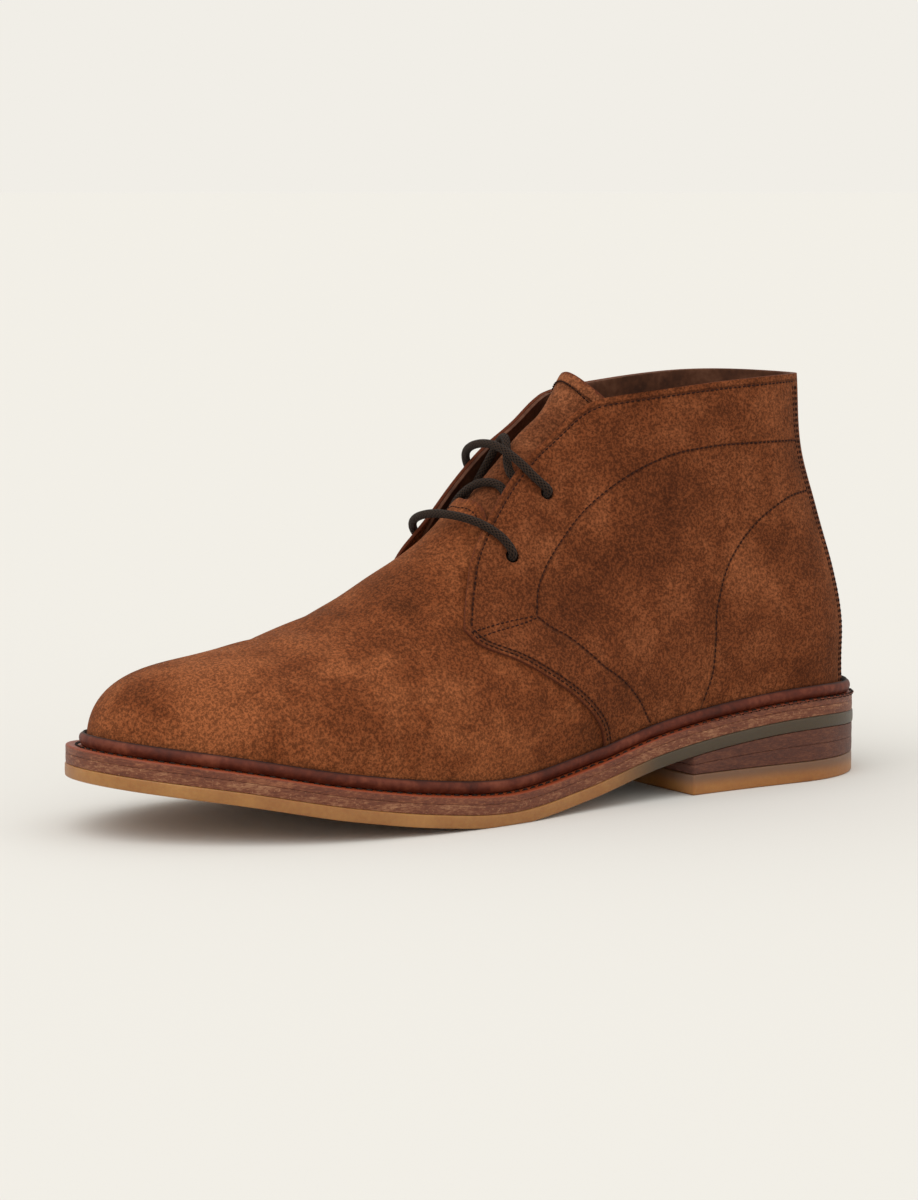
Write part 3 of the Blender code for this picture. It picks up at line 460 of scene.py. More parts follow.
def suede(name, dark, middle, pale, cut, rows=()):
    """Buffed calf suede: clouds and strokes where its fibres lean, tufts and fibres that speckle it, a redder
    cut edge where rim is set, and painted shade along each row of thread, over the trough that the relief
    sinks there. The stored number nap adds patches that are partly brushed fibres and partly painted light
    and shade."""
    sheen = {"Sheen_Weight": 0.20, "Sheen_Roughness": 0.42, "Sheen_Tint": linear("#c98f68")}
    material, tree, shader = new_material(name, Roughness=0.95, Specular_IOR_Level=0.10, **sheen)
    coords = add(tree, "TexCoord", out="Object")
    clouds, strokes = (("Scale", BLOTCH / size) for size in (CLOUD_SIZE, STROKE_SIZE))
    cloud = add(tree, "TexNoise", (0, coords), clouds, ("Detail", 2.0), ("Distortion", 0.4))
    stroke = add(tree, "TexNoise", (0, coords), strokes, ("Detail", 3.0), ("Distortion", 0.7))
    tufts, fibres = (("Scale", BLOTCH / size) for size in (TUFT_SIZE, FIBRE_SIZE))
    tuft = add(tree, "TexNoise", (0, coords), tufts, ("Detail", 3.0), ("Roughness", 0.7))
    fibre = add(tree, "TexNoise", (0, coords), fibres, ("Detail", 3.0), ("Roughness", 0.8))
    # The stored number adds patches of brushed fibres and of painted light and shade
    tone = add(tree, "Attribute", attribute_name="nap_and_painted_light", out="Fac")
    for noise, share in ((cloud, 0.42), (stroke, 0.40), (tuft, 0.18)):
        tone = add(tree, "Math", (0, noise), (1, share), (2, tone), operation="MULTIPLY_ADD")
    colour = add(tree, "ValToRGB", (0, tone), ramp=[(0.36, dark), (0.50, middle), (0.64, pale)])
    speck = add(tree, "Math", (0, tuft), (1, 0.20), (2, fibre), operation="MULTIPLY_ADD")
    light = add(tree, "MapRange", (0, speck), (1, 0.49), (2, 0.73), (3, 0.58), (4, 1.44), **SOFT)
    colour = add(tree, "Mix", (0, 1.0), (6, colour), (7, light), out=2, blend_type="MULTIPLY", **COLOURS)
    rim = add(tree, "Attribute", attribute_name="rim", out="Fac")
    colour = add(tree, "Mix", (0, rim), (6, colour), (7, linear(cut)), out=2, **COLOURS)
    height = add(tree, "Math", (0, tuft), (1, 1.0), (2, fibre), operation="MULTIPLY_ADD")
    # Each row of thread sinks the relief and mixes painted shade into the colour over its trough
    for row, half, depth in rows:
        away = add(tree, "Attribute", attribute_name=row, out="Fac")
        away = add(tree, "Math", (0, away), operation="ABSOLUTE")
        pull = add(tree, "MapRange", (0, away), (1, 0.0), (2, half), (3, 1.0), (4, 0.0), **SOFT)
        shade = add(tree, "Math", (0, pull), (1, 0.50), operation="MULTIPLY")
        colour = add(tree, "Mix", (0, shade), (6, colour), (7, linear(TROUGH_PAINTED_SHADE)), out=2, **COLOURS)
        height = add(tree, "Math", (0, pull), (1, -depth), (2, height), operation="MULTIPLY_ADD")
    skin(tree, shader, colour, height, 0.75)
    return material


# Painted shade: the dark colour laid in the trough along each row of stitches
TROUGH_PAINTED_SHADE = "#2f150c"
CUT_EDGE = "#5c2f1f"
SEAM_ROWS = (("edge_row", 0.0008, 1.6), ("inner_row", 0.0007, 1.4), ("counter_row", 0.0007, 1.4))
vamp_suede = suede("brown_calf_suede_vamp", "#542b15", "#6b381d", "#854c2c", CUT_EDGE)
quarter_suede = suede("brown_calf_suede_quarter", "#4f2713", "#65351c", "#7d472a", CUT_EDGE, SEAM_ROWS)
tongue_suede = suede("brown_calf_suede_tongue", "#562d19", "#6e3e25", "#875235", CUT_EDGE, SEAM_ROWS[:1])
print("suede ready")

# %% Patches of brushed fibres and of painted light
# Patches of tone, partly fibres brushed one way and partly painted light and shade, such as the toe's top
# made paler where light falls on it. Columns: along, across and up on the last, radius, and how much paler it
# looks
NAP_AND_PAINTED_LIGHT_PATCHES = np.array((
    (0.2498, 0.0113, 0.0537, 0.0068, 0.09), (0.2461, 0.0175, 0.0522, 0.0032, -0.08),
    (0.2220, 0.0292, 0.0522, 0.0050, 0.09), (0.2067, 0.0299, 0.0560, 0.0047, 0.06),
    (0.2673, 0.0224, 0.0398, 0.0112, 0.06), (0.2790, 0.0047, 0.0470, 0.0081, -0.04),
    (0.2125, 0.0438, 0.0362, 0.0094, -0.04), (0.1965, 0.0471, 0.0273, 0.0090, -0.06),
    (0.1614, 0.0447, 0.0271, 0.0099, 0.08), (0.2133, 0.0032, 0.0656, 0.0090, -0.06),
    (0.1994, 0.0074, 0.0710, 0.0072, -0.04), (0.1789, 0.0077, 0.0824, 0.0112, 0.05),
    (0.1884, 0.0406, 0.0473, 0.0090, 0.04), (0.1424, 0.0412, 0.0333, 0.0072, 0.07),
    (0.0869, 0.0251, 0.1272, 0.0090, 0.08), (0.0672, 0.0261, 0.1305, 0.0054, -0.06),
    (0.1096, 0.0300, 0.0761, 0.0171, -0.09), (0.0876, 0.0344, 0.0496, 0.0153, -0.02),
    (0.0336, 0.0264, 0.0929, 0.0050, 0.10), (0.0570, 0.0330, 0.0493, 0.0090, 0.07),
    (0.0343, 0.0315, 0.0387, 0.0072, -0.05), (0.1373, 0.0242, 0.0857, 0.0068, 0.04),
    (0.1227, 0.0372, 0.0469, 0.0081, 0.04), (0.0446, 0.0322, 0.0654, 0.0072, 0.05),
    (0.2620, 0.0060, 0.0500, 0.0200, 0.09), (0.0200, 0.0280, 0.0280, 0.0200, -0.10),
    (0.1950, 0.0440, 0.0300, 0.0250, 0.05),
))


def mark_nap_and_painted_light(item):
    """Stores the tone of brushed fibres and of painted light and shade: the sum of round patches that fade as
    a bell, the same on both sides of the foot."""
    at = seats(item)
    at[:, 1] = np.abs(at[:, 1])
    away = np.linalg.norm(at[:, None, :] - NAP_AND_PAINTED_LIGHT_PATCHES[None, :, :3], axis=2)
    mark(item.data, "nap_and_painted_light", (NAP_AND_PAINTED_LIGHT_PATCHES[:, 4] * np.exp(-((away / NAP_AND_PAINTED_LIGHT_PATCHES[:, 3]) ** 2))).sum(axis=1))


# %% Smooth leathers, rubber and thread
# Sizes in metres of the blotches in dye, ink and rubber, and of what is drawn as fine as it shows
DYE_SIZE, INK_SIZE, HAZE_SIZE = 0.009, 0.010, 0.014
THREAD_SIZE, SPECK_SIZE, GRIT_SIZE, TWIST_SIZE = 0.0013, 0.0007, 0.0009, 0.0006
BRAID_STRANDS = 8.0
BRAID_PITCH = 0.0016


def grain_leather(name, dark, middle, pale, roughness, grain=0.0011, bump=0.25, ink=None):
    """Smooth vegetable tanned leather: dye that pooled unevenly, fine pores, and a dark colour where the
    stored number ink is set, which on the bead is painted shade in its joints with the welt and the suede."""
    material, tree, shader = new_material(name, Roughness=roughness, Specular_IOR_Level=0.25)
    coords = add(tree, "TexCoord", out="Object")
    blots = ("Scale", BLOTCH / DYE_SIZE)
    dye = add(tree, "TexNoise", (0, coords), blots, ("Detail", 4.0), ("Distortion", 0.6))
    pores = add(tree, "TexNoise", (0, coords), ("Scale", BLOTCH / grain), ("Detail", 2.0))
    tone = add(tree, "Mix", (0, 0.3), (2, dye), (3, pores))
    colour = add(tree, "ValToRGB", (0, tone), ramp=[(0.36, dark), (0.5, middle), (0.66, pale)])
    # Painted shade: a dark colour mixed in where the stored number ink is set
    if ink:
        line = add(tree, "Attribute", attribute_name="ink", out="Fac")
        colour = add(tree, "Mix", (0, line), (6, colour), (7, linear(ink)), out=2, **COLOURS)
    skin(tree, shader, colour, tone, bump)
    return material


def sanded_edge(name, dark, middle, pale, roughness=0.5, speckle=0.55, burnish=None):
    """Cut edge of sole leather, sanded and inked: fibres drawn out level, bright specks where the grain is
    torn, and a painted highlight, a bright red, where the stored number burnish is set."""
    coat = {"Coat_Weight": 0.08, "Coat_Roughness": 0.3}
    material, tree, shader = new_material(name, Roughness=roughness, Specular_IOR_Level=0.35, **coat)
    coords = add(tree, "TexCoord", out="Object")
    level = add(tree, "Mapping", ("Vector", coords), ("Scale", (1.0, 1.0, 4.0)))
    inks, threads, grits = (("Scale", BLOTCH / size) for size in (INK_SIZE, THREAD_SIZE, SPECK_SIZE))
    ink = add(tree, "TexNoise", (0, level), inks, ("Detail", 4.0), ("Roughness", 0.65))
    fibres = add(tree, "TexNoise", (0, level), threads, ("Detail", 3.0), ("Roughness", 0.7))
    specks = add(tree, "TexNoise", (0, coords), grits, ("Detail", 2.0), ("Roughness", 0.8))
    tone = add(tree, "Mix", (0, 0.55), (2, ink), (3, fibres))
    colour = add(tree, "ValToRGB", (0, tone), ramp=[(0.34, dark), (0.5, middle), (0.68, pale)])
    torn = add(tree, "MapRange", (0, specks), (1, 0.60), (2, 0.70), (3, 0.0), (4, speckle), **SOFT)
    colour = add(tree, "Mix", (0, torn), (6, colour), (7, linear(pale)), out=2, **COLOURS)
    # Painted highlight: a bright red mixed in along the welt's top corner
    if burnish:
        top_corner_highlight = add(tree, "Attribute", attribute_name="burnish", out="Fac")
        colour = add(tree, "Mix", (0, top_corner_highlight), (6, colour), (7, linear(burnish)), out=2, **COLOURS)
    height = add(tree, "Math", (0, specks), (1, 0.8), (2, fibres), operation="MULTIPLY_ADD")
    skin(tree, shader, colour, height, 0.55)
    return material


def gum_rubber(name, amber, pale, tinted, axis, start, end):
    """Natural gum rubber: light sinks in and comes out amber, and its edge is tinted from start to end of
    an axis."""
    depth = {"Subsurface_Weight": 0.30, "Subsurface_Scale": 0.003, "Subsurface_Radius": (1.0, 0.45, 0.15)}
    material, tree, shader = new_material(name, Roughness=0.45, **depth)
    coords = add(tree, "TexCoord", out="Object")
    haze = add(tree, "TexNoise", (0, coords), ("Scale", BLOTCH / HAZE_SIZE), ("Detail", 3.0))
    grits = ("Scale", BLOTCH / GRIT_SIZE)
    grit = add(tree, "TexNoise", (0, coords), grits, ("Detail", 2.0), ("Roughness", 0.6))
    tone = add(tree, "Mix", (0, 0.25), (2, haze), (3, grit))
    colour = add(tree, "ValToRGB", (0, tone), ramp=[(0.34, amber), (0.68, pale)])
    place_on = add(tree, "SeparateXYZ", (0, coords), out=axis)
    amount = add(tree, "MapRange", (0, place_on), (1, start), (2, end), **SOFT)
    colour = add(tree, "Mix", (0, amount), (6, colour), (7, linear(tinted)), out=2, **COLOURS)
    skin(tree, shader, colour, grit, 0.25, 0.0003)
    return material


def spun_thread(name, colour, pale):
    """Waxed polyester thread: dark and dull, its twist too fine to draw."""
    material, tree, shader = new_material(name, Roughness=0.8, Specular_IOR_Level=0.12)
    coords = add(tree, "TexCoord", out="Object")
    twist = add(tree, "TexNoise", (0, coords), ("Scale", BLOTCH / TWIST_SIZE), ("Detail", 2.0))
    shade = add(tree, "ValToRGB", (0, twist), ramp=[(0.35, colour), (0.7, pale)])
    tree.links.new(shade, shader.inputs["Base Color"])
    return material


def braided_cord(name, dark, middle, pale):
    """Round braided polyester: two families of strands wind either way round and cross in a fine
    herringbone."""
    sheen = {"Sheen_Weight": 0.04, "Sheen_Roughness": 0.5}
    material, tree, shader = new_material(name, Roughness=0.85, Specular_IOR_Level=0.12, **sheen)
    pattern = add(tree, "UVMap", uv_map="pattern")
    around, onward = [add(tree, "SeparateXYZ", (0, pattern), out=axis) for axis in (0, 1)]
    wind = math.tau / BRAID_PITCH
    strands = []
    for way in (1.0, -1.0):
        turn = add(tree, "Math", (0, around), (1, BRAID_STRANDS * way * math.tau), operation="MULTIPLY")
        turn = add(tree, "Math", (0, onward), (1, wind), (2, turn), operation="MULTIPLY_ADD")
        strands.append(add(tree, "Math", (0, turn), operation="SINE"))
    weave = add(tree, "Math", (0, strands[0]), (1, strands[1]), operation="MAXIMUM")
    shown = add(tree, "MapRange", (0, weave), (1, -0.4), (2, 1.0), **SOFT)
    colour = add(tree, "ValToRGB", (0, shown), ramp=[(0.0, dark), (0.55, middle), (1.0, pale)])
    skin(tree, shader, colour, weave, 0.8, 0.0003)
    return material


lining_leather = grain_leather("smooth_lining_leather", "#3d2012", "#54301d", "#6b4430", 0.7)
insole_leather = grain_leather("smooth_insole_leather", "#6e4526", "#8b5a35", "#a37046", 0.5)
# The bead's darkest colour is painted shade in its joints with the welt below and the suede above
waxed_with_painted_shade = {"grain": 0.0013, "bump": 0.6, "ink": "#1a0a07"}
bead_leather = grain_leather("waxed_bead_leather", "#40150a", "#582211", "#783c27", 0.6, **waxed_with_painted_shade)
# The welt's last colour, a bright red, is a painted highlight along its top corner
welt_leather = sanded_edge("inked_welt_leather", "#4c2213", "#69341e", "#98603f", 0.55, 0.45, "#80330f")
midsole_leather = sanded_edge("sanded_midsole_leather", "#4e2412", "#6c3820", "#a37452", 0.6, 0.60)
stack_leather = sanded_edge("stacked_heel_leather", "#3c190d", "#502616", "#6f4029", 0.6, 0.30)
gum = gum_rubber("natural_gum_rubber", "#85501f", "#a3733a", "#3d2f1a", 1, 0.018, 0.050)
lift_gum = gum_rubber("gum_top_lift_rubber", "#8a541f", "#a06a31", "#6c4a31", 2, 0.0020, 0.0062)
seam_thread = spun_thread("brown_seam_thread", "#200f0a", "#361c15")
welt_thread = spun_thread("black_welt_thread", "#15100e", "#2a1f1b")
lace_braid = braided_cord("dark_braided_cord", "#110a07", "#1f1511", "#38291f")
print("leathers, rubber, thread and braid ready")

# %% [markdown]
# ## Vamp
# The vamp is one piece of suede from the toe to under the quarters. It could be a subdivided cage, but the
# last's function already gives its exact place, so the grid runs in rings from the toe's tip back and in
# columns around the crown. Walking leaves soft creases where the toes bend: each is a trough laid
# along the crown, deepest at its middle and fading at its ends, with a low swell before and behind it.

# %% Vamp
VAMP_THICKNESS = 0.0022
VAMP_RINGS, VAMP_COLUMNS, TIP_CROWDING = 150, 205, 0.92
CREASE_FADE, CREASE_SWELL = 1.6, 1.1
UPPER_REST_GAP = 0.0003
VAMP_REAR_ROWS = np.array((
    (0.0, 0.381), (10.0, 0.393), (18.0, 0.422), (26.0, 0.460), (34.0, 0.502), (42.0, 0.541), (50.0, 0.556),
    (58.0, 0.549), (66.0, 0.537), (74.0, 0.531), (82.0, 0.532), (90.0, 0.535),
))
# Creases: middle as share along and angle, half length in degrees, lean along a degree, width and depth
CREASES = (
    (0.800, 76.0, 24.0, -0.00022, 0.0050, 0.00080),
    (0.752, 84.0, 34.0, 0.00016, 0.0068, 0.00070),
    (0.712, 66.0, 26.0, -0.00030, 0.0074, 0.00060),
    (0.792, 112.0, 26.0, 0.00020, 0.0060, 0.00065),
    (0.735, 122.0, 30.0, 0.00024, 0.0072, 0.00060),
    (0.660, 52.0, 20.0, -0.00040, 0.0080, 0.00050),
)


def vamp_rear(angle):
    """Place along of the vamp's rear edge, the same on both sides."""
    return LAST_LENGTH * smooth(np.minimum(angle, 180.0 - angle), VAMP_REAR_ROWS)


def crease_lift(along, angle):
    """Sum of the creases: each is a wave with one trough and two low swells, times a soft bell around the
    crown."""
    lift = np.zeros_like(along)
    for share, middle, half, lean, width, depth in CREASES:
        off = (along - share * LAST_LENGTH - lean * (angle - middle)) / width
        bell = np.exp(-((angle - middle) / half) ** 2 * CREASE_FADE)
        lift += depth * bell * (off**2 * CREASE_SWELL - 1.0) * np.exp(-(off**2))
    return lift


ring_turn = np.linspace(0.0, 1.0, VAMP_RINGS)
ring_angle = np.linspace(0.0, 180.0, VAMP_COLUMNS)
from_tip = (1.0 - np.cos(ring_turn * np.pi / 2.0)) ** TIP_CROWDING
vamp_along = LAST_LENGTH - (LAST_LENGTH - vamp_rear(ring_angle))[None, :] * from_tip[:, None]
vamp_angle = ring_angle[None, :] + 0.0 * vamp_along
vamp_face = crown_point(vamp_along, vamp_angle)
vamp_face[..., 2] += UPPER_REST_GAP
vamp_out = sheet_normals(vamp_face, np.array([0.7 * LAST_LENGTH, 0.0, 0.02]))
vamp_out[0] = (1.0, 0.0, 0.0)
vamp_out[:, 0, 2] = 0.0
vamp_out[:, -1, 2] = 0.0
vamp_face = vamp_face + vamp_out * crease_lift(vamp_along, vamp_angle)[..., None]
vamp = sheet_piece("vamp", vamp_face, vamp_face - vamp_out * VAMP_THICKNESS, 0.25)
mark_nap_and_painted_light(vamp)
wear(vamp, "upper", vamp_suede)

# %% [markdown]
# ## Quarters
# Two quarters make the sides and the back. Each is cut so that its lower front edge sweeps back over the
# vamp, and its facing rises to the collar. A flat pattern could be cut and bent, but here each row runs
# from the centre back to the front edge, so the cut edges are exact. The inner quarter passes round the
# heel and is lapped by the outer one, and the facings stand a little off the tongue. Distances to the edge
# and to each row of stitches are stored on the mesh, so that the suede can sink where thread pulls it in,
# with painted shade in its colour along each row.

# %% Sizes of the quarters
QUARTER_RAISE = 0.0012
QUARTER_SINK = 0.0011
BACK_SEAM_STEP = 0.0005
BACK_SEAM_OFFSET = 0.009
BACK_LAP = 0.014
BACK_SEAM_REACH = 0.04
LATERAL_FACING_STAND = 0.0018
MEDIAL_FACING_STAND = 0.0034
COLLAR_STAND = 0.0018
FACING_REACH = 0.032
QUARTER_LIFT = 0.00025
LINING_CLEAR = 0.00008
LAP_CLEAR, BACK_LAP_FADE = 0.001, 0.004
VAMP_CLEAR, THROAT_ANGLE = 0.0006, 70.0
# Shares of the facing's height: where it has come off the foot, and where it starts to turn to the collar
FACING_FREE, COLLAR_FROM, COLLAR_OVER = 0.25, 0.66, 0.3
LOW_ROWS, HIGH_ROWS, SIDE_COLUMNS, HEEL_COLUMNS = 34, 66, 116, 22
FRONT_ROWS = np.array((
    (0.000, 0.4190), (0.102, 0.4310), (0.196, 0.4600), (0.294, 0.5040), (0.372, 0.5480), (0.421, 0.5885),
    (0.463, 0.6020),
))
FACING_ROWS = np.array((
    (0.00, 0.6020, 48.2), (0.13, 0.5834, 57.6), (0.24, 0.5650, 64.4), (0.33, 0.5450, 67.9),
    (0.43, 0.5230, 69.4), (0.55, 0.4980, 70.5), (0.64, 0.4766, 70.6), (0.73, 0.4505, 70.5),
    (0.80, 0.4290, 69.6), (0.87, 0.4070, 67.3), (0.94, 0.3870, 63.4), (1.00, 0.3700, 59.2),
))
ROW_BACK_ROWS = np.array((
    (0.00, 0.440), (0.33, 0.640), (0.55, 0.770), (0.73, 0.870), (0.87, 0.942), (1.00, 1.000),
))
CORNER_ROW = 0.38


def quarter_ends(rows):
    """For each row from the feather line (0) by the front corner (CORNER_ROW) to the collar (1): where its
    front end is, along and up, how high its back end is, and how far up the facing it lies."""
    low = np.clip(rows / CORNER_ROW, 0.0, 1.0)
    high = np.clip((rows - CORNER_ROW) / (1.0 - CORNER_ROW), 0.0, 1.0)
    front_along = smooth(low * FRONT_ROWS[-1, 0], FRONT_ROWS) * LAST_LENGTH
    facing_along = smooth(high, FACING_ROWS) * LAST_LENGTH
    below = rows < CORNER_ROW
    facing_level = crown_level(facing_along, smooth(high, FACING_ROWS, 2))
    edge_along = np.where(below, front_along, facing_along)
    edge_level = np.where(below, low * FRONT_ROWS[-1, 0] * COLLAR_HEIGHT, facing_level)
    back_level = np.where(below, low * ROW_BACK_ROWS[0, 1], smooth(high, ROW_BACK_ROWS)) * COLLAR_HEIGHT
    return edge_along, edge_level, back_level, high


def on_row(part, edge_along, edge_level, back_level):
    """Along and height at shares of each row's way from its back end to its front end."""
    level = back_level[:, None] + (edge_level - back_level)[:, None] * part
    return back_set_in(level) * (1.0 - part) + part * edge_along[:, None], level


def quarter_sheet(rows, reach_of, side, front=None):
    """Grid of a side. Each row's reach is its way from the centre back; its height goes evenly from the
    back end's to the front end's. Returns points on the last, the facing's stand off it, and the reach."""
    edge_along, edge_level, back_level, high = quarter_ends(rows)
    span = edge_along - back_set_in(back_level)
    stop = span if front is None else np.minimum(span, front(edge_along, edge_level, back_level, span))
    reach = reach_of(stop[:, None])
    along, level = on_row(reach / span[:, None], edge_along, edge_level, back_level)
    along = np.maximum(along, back_set_in(level))
    points = last_point(along, level, side * np.ones_like(along))
    points[..., 2] += UPPER_REST_GAP
    facing_stand = LATERAL_FACING_STAND if side > 0 else MEDIAL_FACING_STAND
    most = facing_stand + (COLLAR_STAND - facing_stand) * ease((high - COLLAR_FROM) / COLLAR_OVER)
    near_edge = ease(1.0 - (edge_along[:, None] - along) / FACING_REACH)
    stand = (most * ease(high / FACING_FREE))[:, None] * near_edge
    return points, stand, reach


quarter_rows = np.concatenate([
    steps(LOW_ROWS, 0.0, CORNER_ROW, 0.5)[:-1],
    steps(HIGH_ROWS, CORNER_ROW, 1.0, 0.7),
])
side_turn = 1.0 - (1.0 - np.linspace(0.0, 1.0, SIDE_COLUMNS)) ** 1.25
heel_turn = np.linspace(0.0, 1.0, HEEL_COLUMNS) ** 2
print("rows", len(quarter_rows), "columns", len(side_turn))


# %% Cut the quarters and their lining
def lay(points, lifts, centre=(0.25 * LAST_LENGTH, 0.0, 0.08)):
    """Grids at several heights off one grid, the foot of each kept level just over the welt."""
    normals = sheet_normals(points, np.array(centre))
    normals[0, :, 2] = 0.0
    grids = [points + normals * lift[..., None] for lift in lifts]
    for grid in grids:
        grid[0, :, 2] = points[0, :, 2] + QUARTER_LIFT - UPPER_REST_GAP
    return grids


def seam_to_front(stop):
    """Reach of the outer quarter's columns: from its rear edge to the front."""
    return BACK_SEAM_OFFSET + (stop - BACK_SEAM_OFFSET) * side_turn


def lap_to_front(stop):
    """Reach of the inner quarter's columns on its own side: crowded at the heel's curve, then on to the
    front."""
    side = BACK_LAP + (stop - BACK_LAP) * side_turn[1:]
    return np.concatenate([0.0 * stop + BACK_LAP * heel_turn[1:], side], axis=1)


points, stand, reach = quarter_sheet(quarter_rows, seam_to_front, 1.0)
off_seam = ease((reach - BACK_LAP - LAP_CLEAR) / BACK_LAP_FADE)
over_lap = QUARTER_RAISE - BACK_SEAM_STEP
under = over_lap + (LINING_CLEAR - over_lap) * off_seam
outer_face, outer_back = lay(points, [QUARTER_RAISE + stand, under + stand])

wrap = quarter_sheet(quarter_rows, lambda stop: BACK_LAP * heel_turn[::-1] + 0.0 * stop, 1.0)
round_side = quarter_sheet(quarter_rows, lap_to_front, -1.0)
points, stand, reach = [np.concatenate([a, b], axis=1) for a, b in zip(wrap, round_side)]
in_lap = np.arange(points.shape[1]) < len(heel_turn)
sunk = BACK_SEAM_STEP * np.where(in_lap, 1.06, 1.0 - ease(reach / BACK_SEAM_REACH))
inner_face, inner_back = lay(points, [QUARTER_RAISE + stand - sunk, LINING_CLEAR + stand])


def lining_front(edge_along, edge_level, back_level, span):
    """How far each lining row may reach: up to the vamp's rear edge, found on the row by trying many
    places."""
    part = np.linspace(0.3, 1.0, 400)[None, :]
    along, level = on_row(part, edge_along, edge_level, back_level)
    angle = crown_angle(along, level, 1.0)
    blocked = (along >= vamp_rear(angle) - VAMP_CLEAR) & (angle <= THROAT_ANGLE)
    first = np.where(blocked.any(axis=1), blocked.argmax(axis=1), part.shape[1] - 1)
    return part[0, first] * span


def heel_to_front(stop):
    """Reach of the lining's columns: crowded at the heel's curve, then even to the front."""
    side = BACK_LAP + (stop - BACK_LAP) * side_turn[1::2]
    return np.concatenate([0.0 * stop + BACK_LAP * heel_turn, side], axis=1)


left = quarter_sheet(quarter_rows[::2], heel_to_front, 1.0, lining_front)
right = quarter_sheet(quarter_rows[::2], heel_to_front, -1.0, lining_front)
points, stand, reach = [np.concatenate([a[:, ::-1], b[:, 1:]], axis=1) for a, b in zip(left, right)]
lining_face, lining_back = lay(points, [stand, stand - QUARTER_SINK])

outer_quarter = sheet_piece("outer_quarter", outer_face, outer_back)
inner_quarter = sheet_piece("inner_quarter", inner_face, inner_back)
lining = sheet_piece("quarter_lining", lining_face, lining_back, 0.2)
print("quarter and lining cut")

# %% Punch the eyelets
EYELETS = ((0.5204, 54.8), (0.4624, 58.9))
EYELET_DIAMETER = 0.0047
EYELET_DEPTH = 0.012


def punch(items):
    """Takes four round plugs out of each item: a Boolean with an exact solver, then its result made the
    mesh."""
    turn = np.linspace(0.0, math.tau, 33)[:-1]
    loops = []
    for share, angle in EYELETS:
        for turned in (angle, 180.0 - angle):
            centre, normal = crown_frame(np.array(share * LAST_LENGTH), np.array(turned))
            first = unit(np.cross(normal, (0.0, 0.0, 1.0)))
            circle = np.cos(turn)[:, None] * first + np.sin(turn)[:, None] * np.cross(normal, first)
            for depth in (-EYELET_DEPTH / 4.0, EYELET_DEPTH / 2.0):
                loops.append(centre + normal * depth + circle * EYELET_DIAMETER / 2.0)
    faces = []
    for first in range(0, len(loops) * len(turn), 2 * len(turn)):
        faces += grid_faces(2, len(turn), first, wrap=True).tolist()
        faces += [list(range(ring, ring + len(turn))) for ring in (first, first + len(turn))]
    plugs = make_piece("eyelet_plugs", np.concatenate(loops), faces)
    for item in items:
        cut = item.modifiers.new("punch", "BOOLEAN")
        cut.operation, cut.solver, cut.object = "DIFFERENCE", "EXACT", plugs
        mesh = bpy.data.meshes.new_from_object(item.evaluated_get(bpy.context.evaluated_depsgraph_get()))
        item.modifiers.clear()
        item.data = mesh
        mesh.polygons.foreach_set("use_smooth", np.ones(len(mesh.polygons), dtype=bool))
    bpy.data.objects.remove(plugs)


punch([outer_quarter, inner_quarter, lining])
print("eyelets punched", len(outer_quarter.data.polygons))

# %% [markdown]
# ## Rows of stitches
# Stitches hold the quarters to the vamp and to the lining. A dashed texture line would slide off the seams,
# so each stitch is a small mesh of its own: a short round rod, bent down at both ends where the thread goes
# into the leather. The rows are curves measured on the outer side and mirrored to the inner side. A row is
# walked in equal paces, and each stitch is set on the leather's real surface, found as the nearest point of
# the grid under it.

# %% Stitch rows
# Places in metres: along from the heel, height over the feather line
INNER_ROW = np.array((
    (0.0190, 0.0885), (0.0319, 0.0899), (0.0520, 0.0915), (0.0742, 0.0931), (0.0891, 0.0930),
    (0.1011, 0.0909), (0.1127, 0.0870), (0.1228, 0.0820), (0.1324, 0.0750), (0.1402, 0.0681),
    (0.1447, 0.0622), (0.1479, 0.0534),
))
STAY_ROW = np.array((
    (0.1479, 0.0534), (0.1441, 0.0496), (0.1375, 0.0448), (0.1304, 0.0380), (0.1243, 0.0313),
    (0.1180, 0.0257), (0.1131, 0.0203), (0.1085, 0.0143), (0.1053, 0.0089), (0.1030, 0.0054),
))
COUNTER_ROW = np.array((
    (0.0178, 0.0727), (0.0282, 0.0722), (0.0404, 0.0710), (0.0473, 0.0684), (0.0526, 0.0657),
    (0.0579, 0.0621), (0.0622, 0.0584), (0.0662, 0.0542), (0.0698, 0.0491), (0.0725, 0.0431),
    (0.0747, 0.0371), (0.0757, 0.0268), (0.0761, 0.0212), (0.0767, 0.0156), (0.0791, 0.0087),
    (0.0800, 0.0056),
))
CORNER_ROWS = (
    np.array(((0.1736, 0.0512), (0.1651, 0.0528), (0.1566, 0.0535), (0.1479, 0.0534))),
    np.array(((0.1720, 0.0494), (0.1642, 0.0510), (0.1561, 0.0518), (0.1474, 0.0528))),
)
BACK_STITCH_GAPS = (0.0011, 0.0022, 0.0036)
# How far the rows lie from the cut edge that they follow
EDGE_INSET, FRONT_INSETS = 0.0023, (0.0013, 0.0026)


def drawn(table, count=160):
    """A smooth curve through a table of places, by the length of its chords."""
    rows = np.column_stack([lengths(table), table])
    t = np.linspace(0.0, rows[-1, 0], count)
    return np.column_stack([smooth(t, rows, k + 1) for k in range(table.shape[1])])


def inset(along, angle, distance):
    """A curve moved along the surface by a distance, down from an edge that runs up and back, then put back
    on the last."""
    point, normal = crown_frame(along, angle)
    moved = point - unit(np.cross(normal, np.gradient(point, axis=0))) * distance
    level = moved[:, 2] - feather_height(moved[:, 0])
    return moved[:, 0], crown_angle(moved[:, 0], level, 1.0)


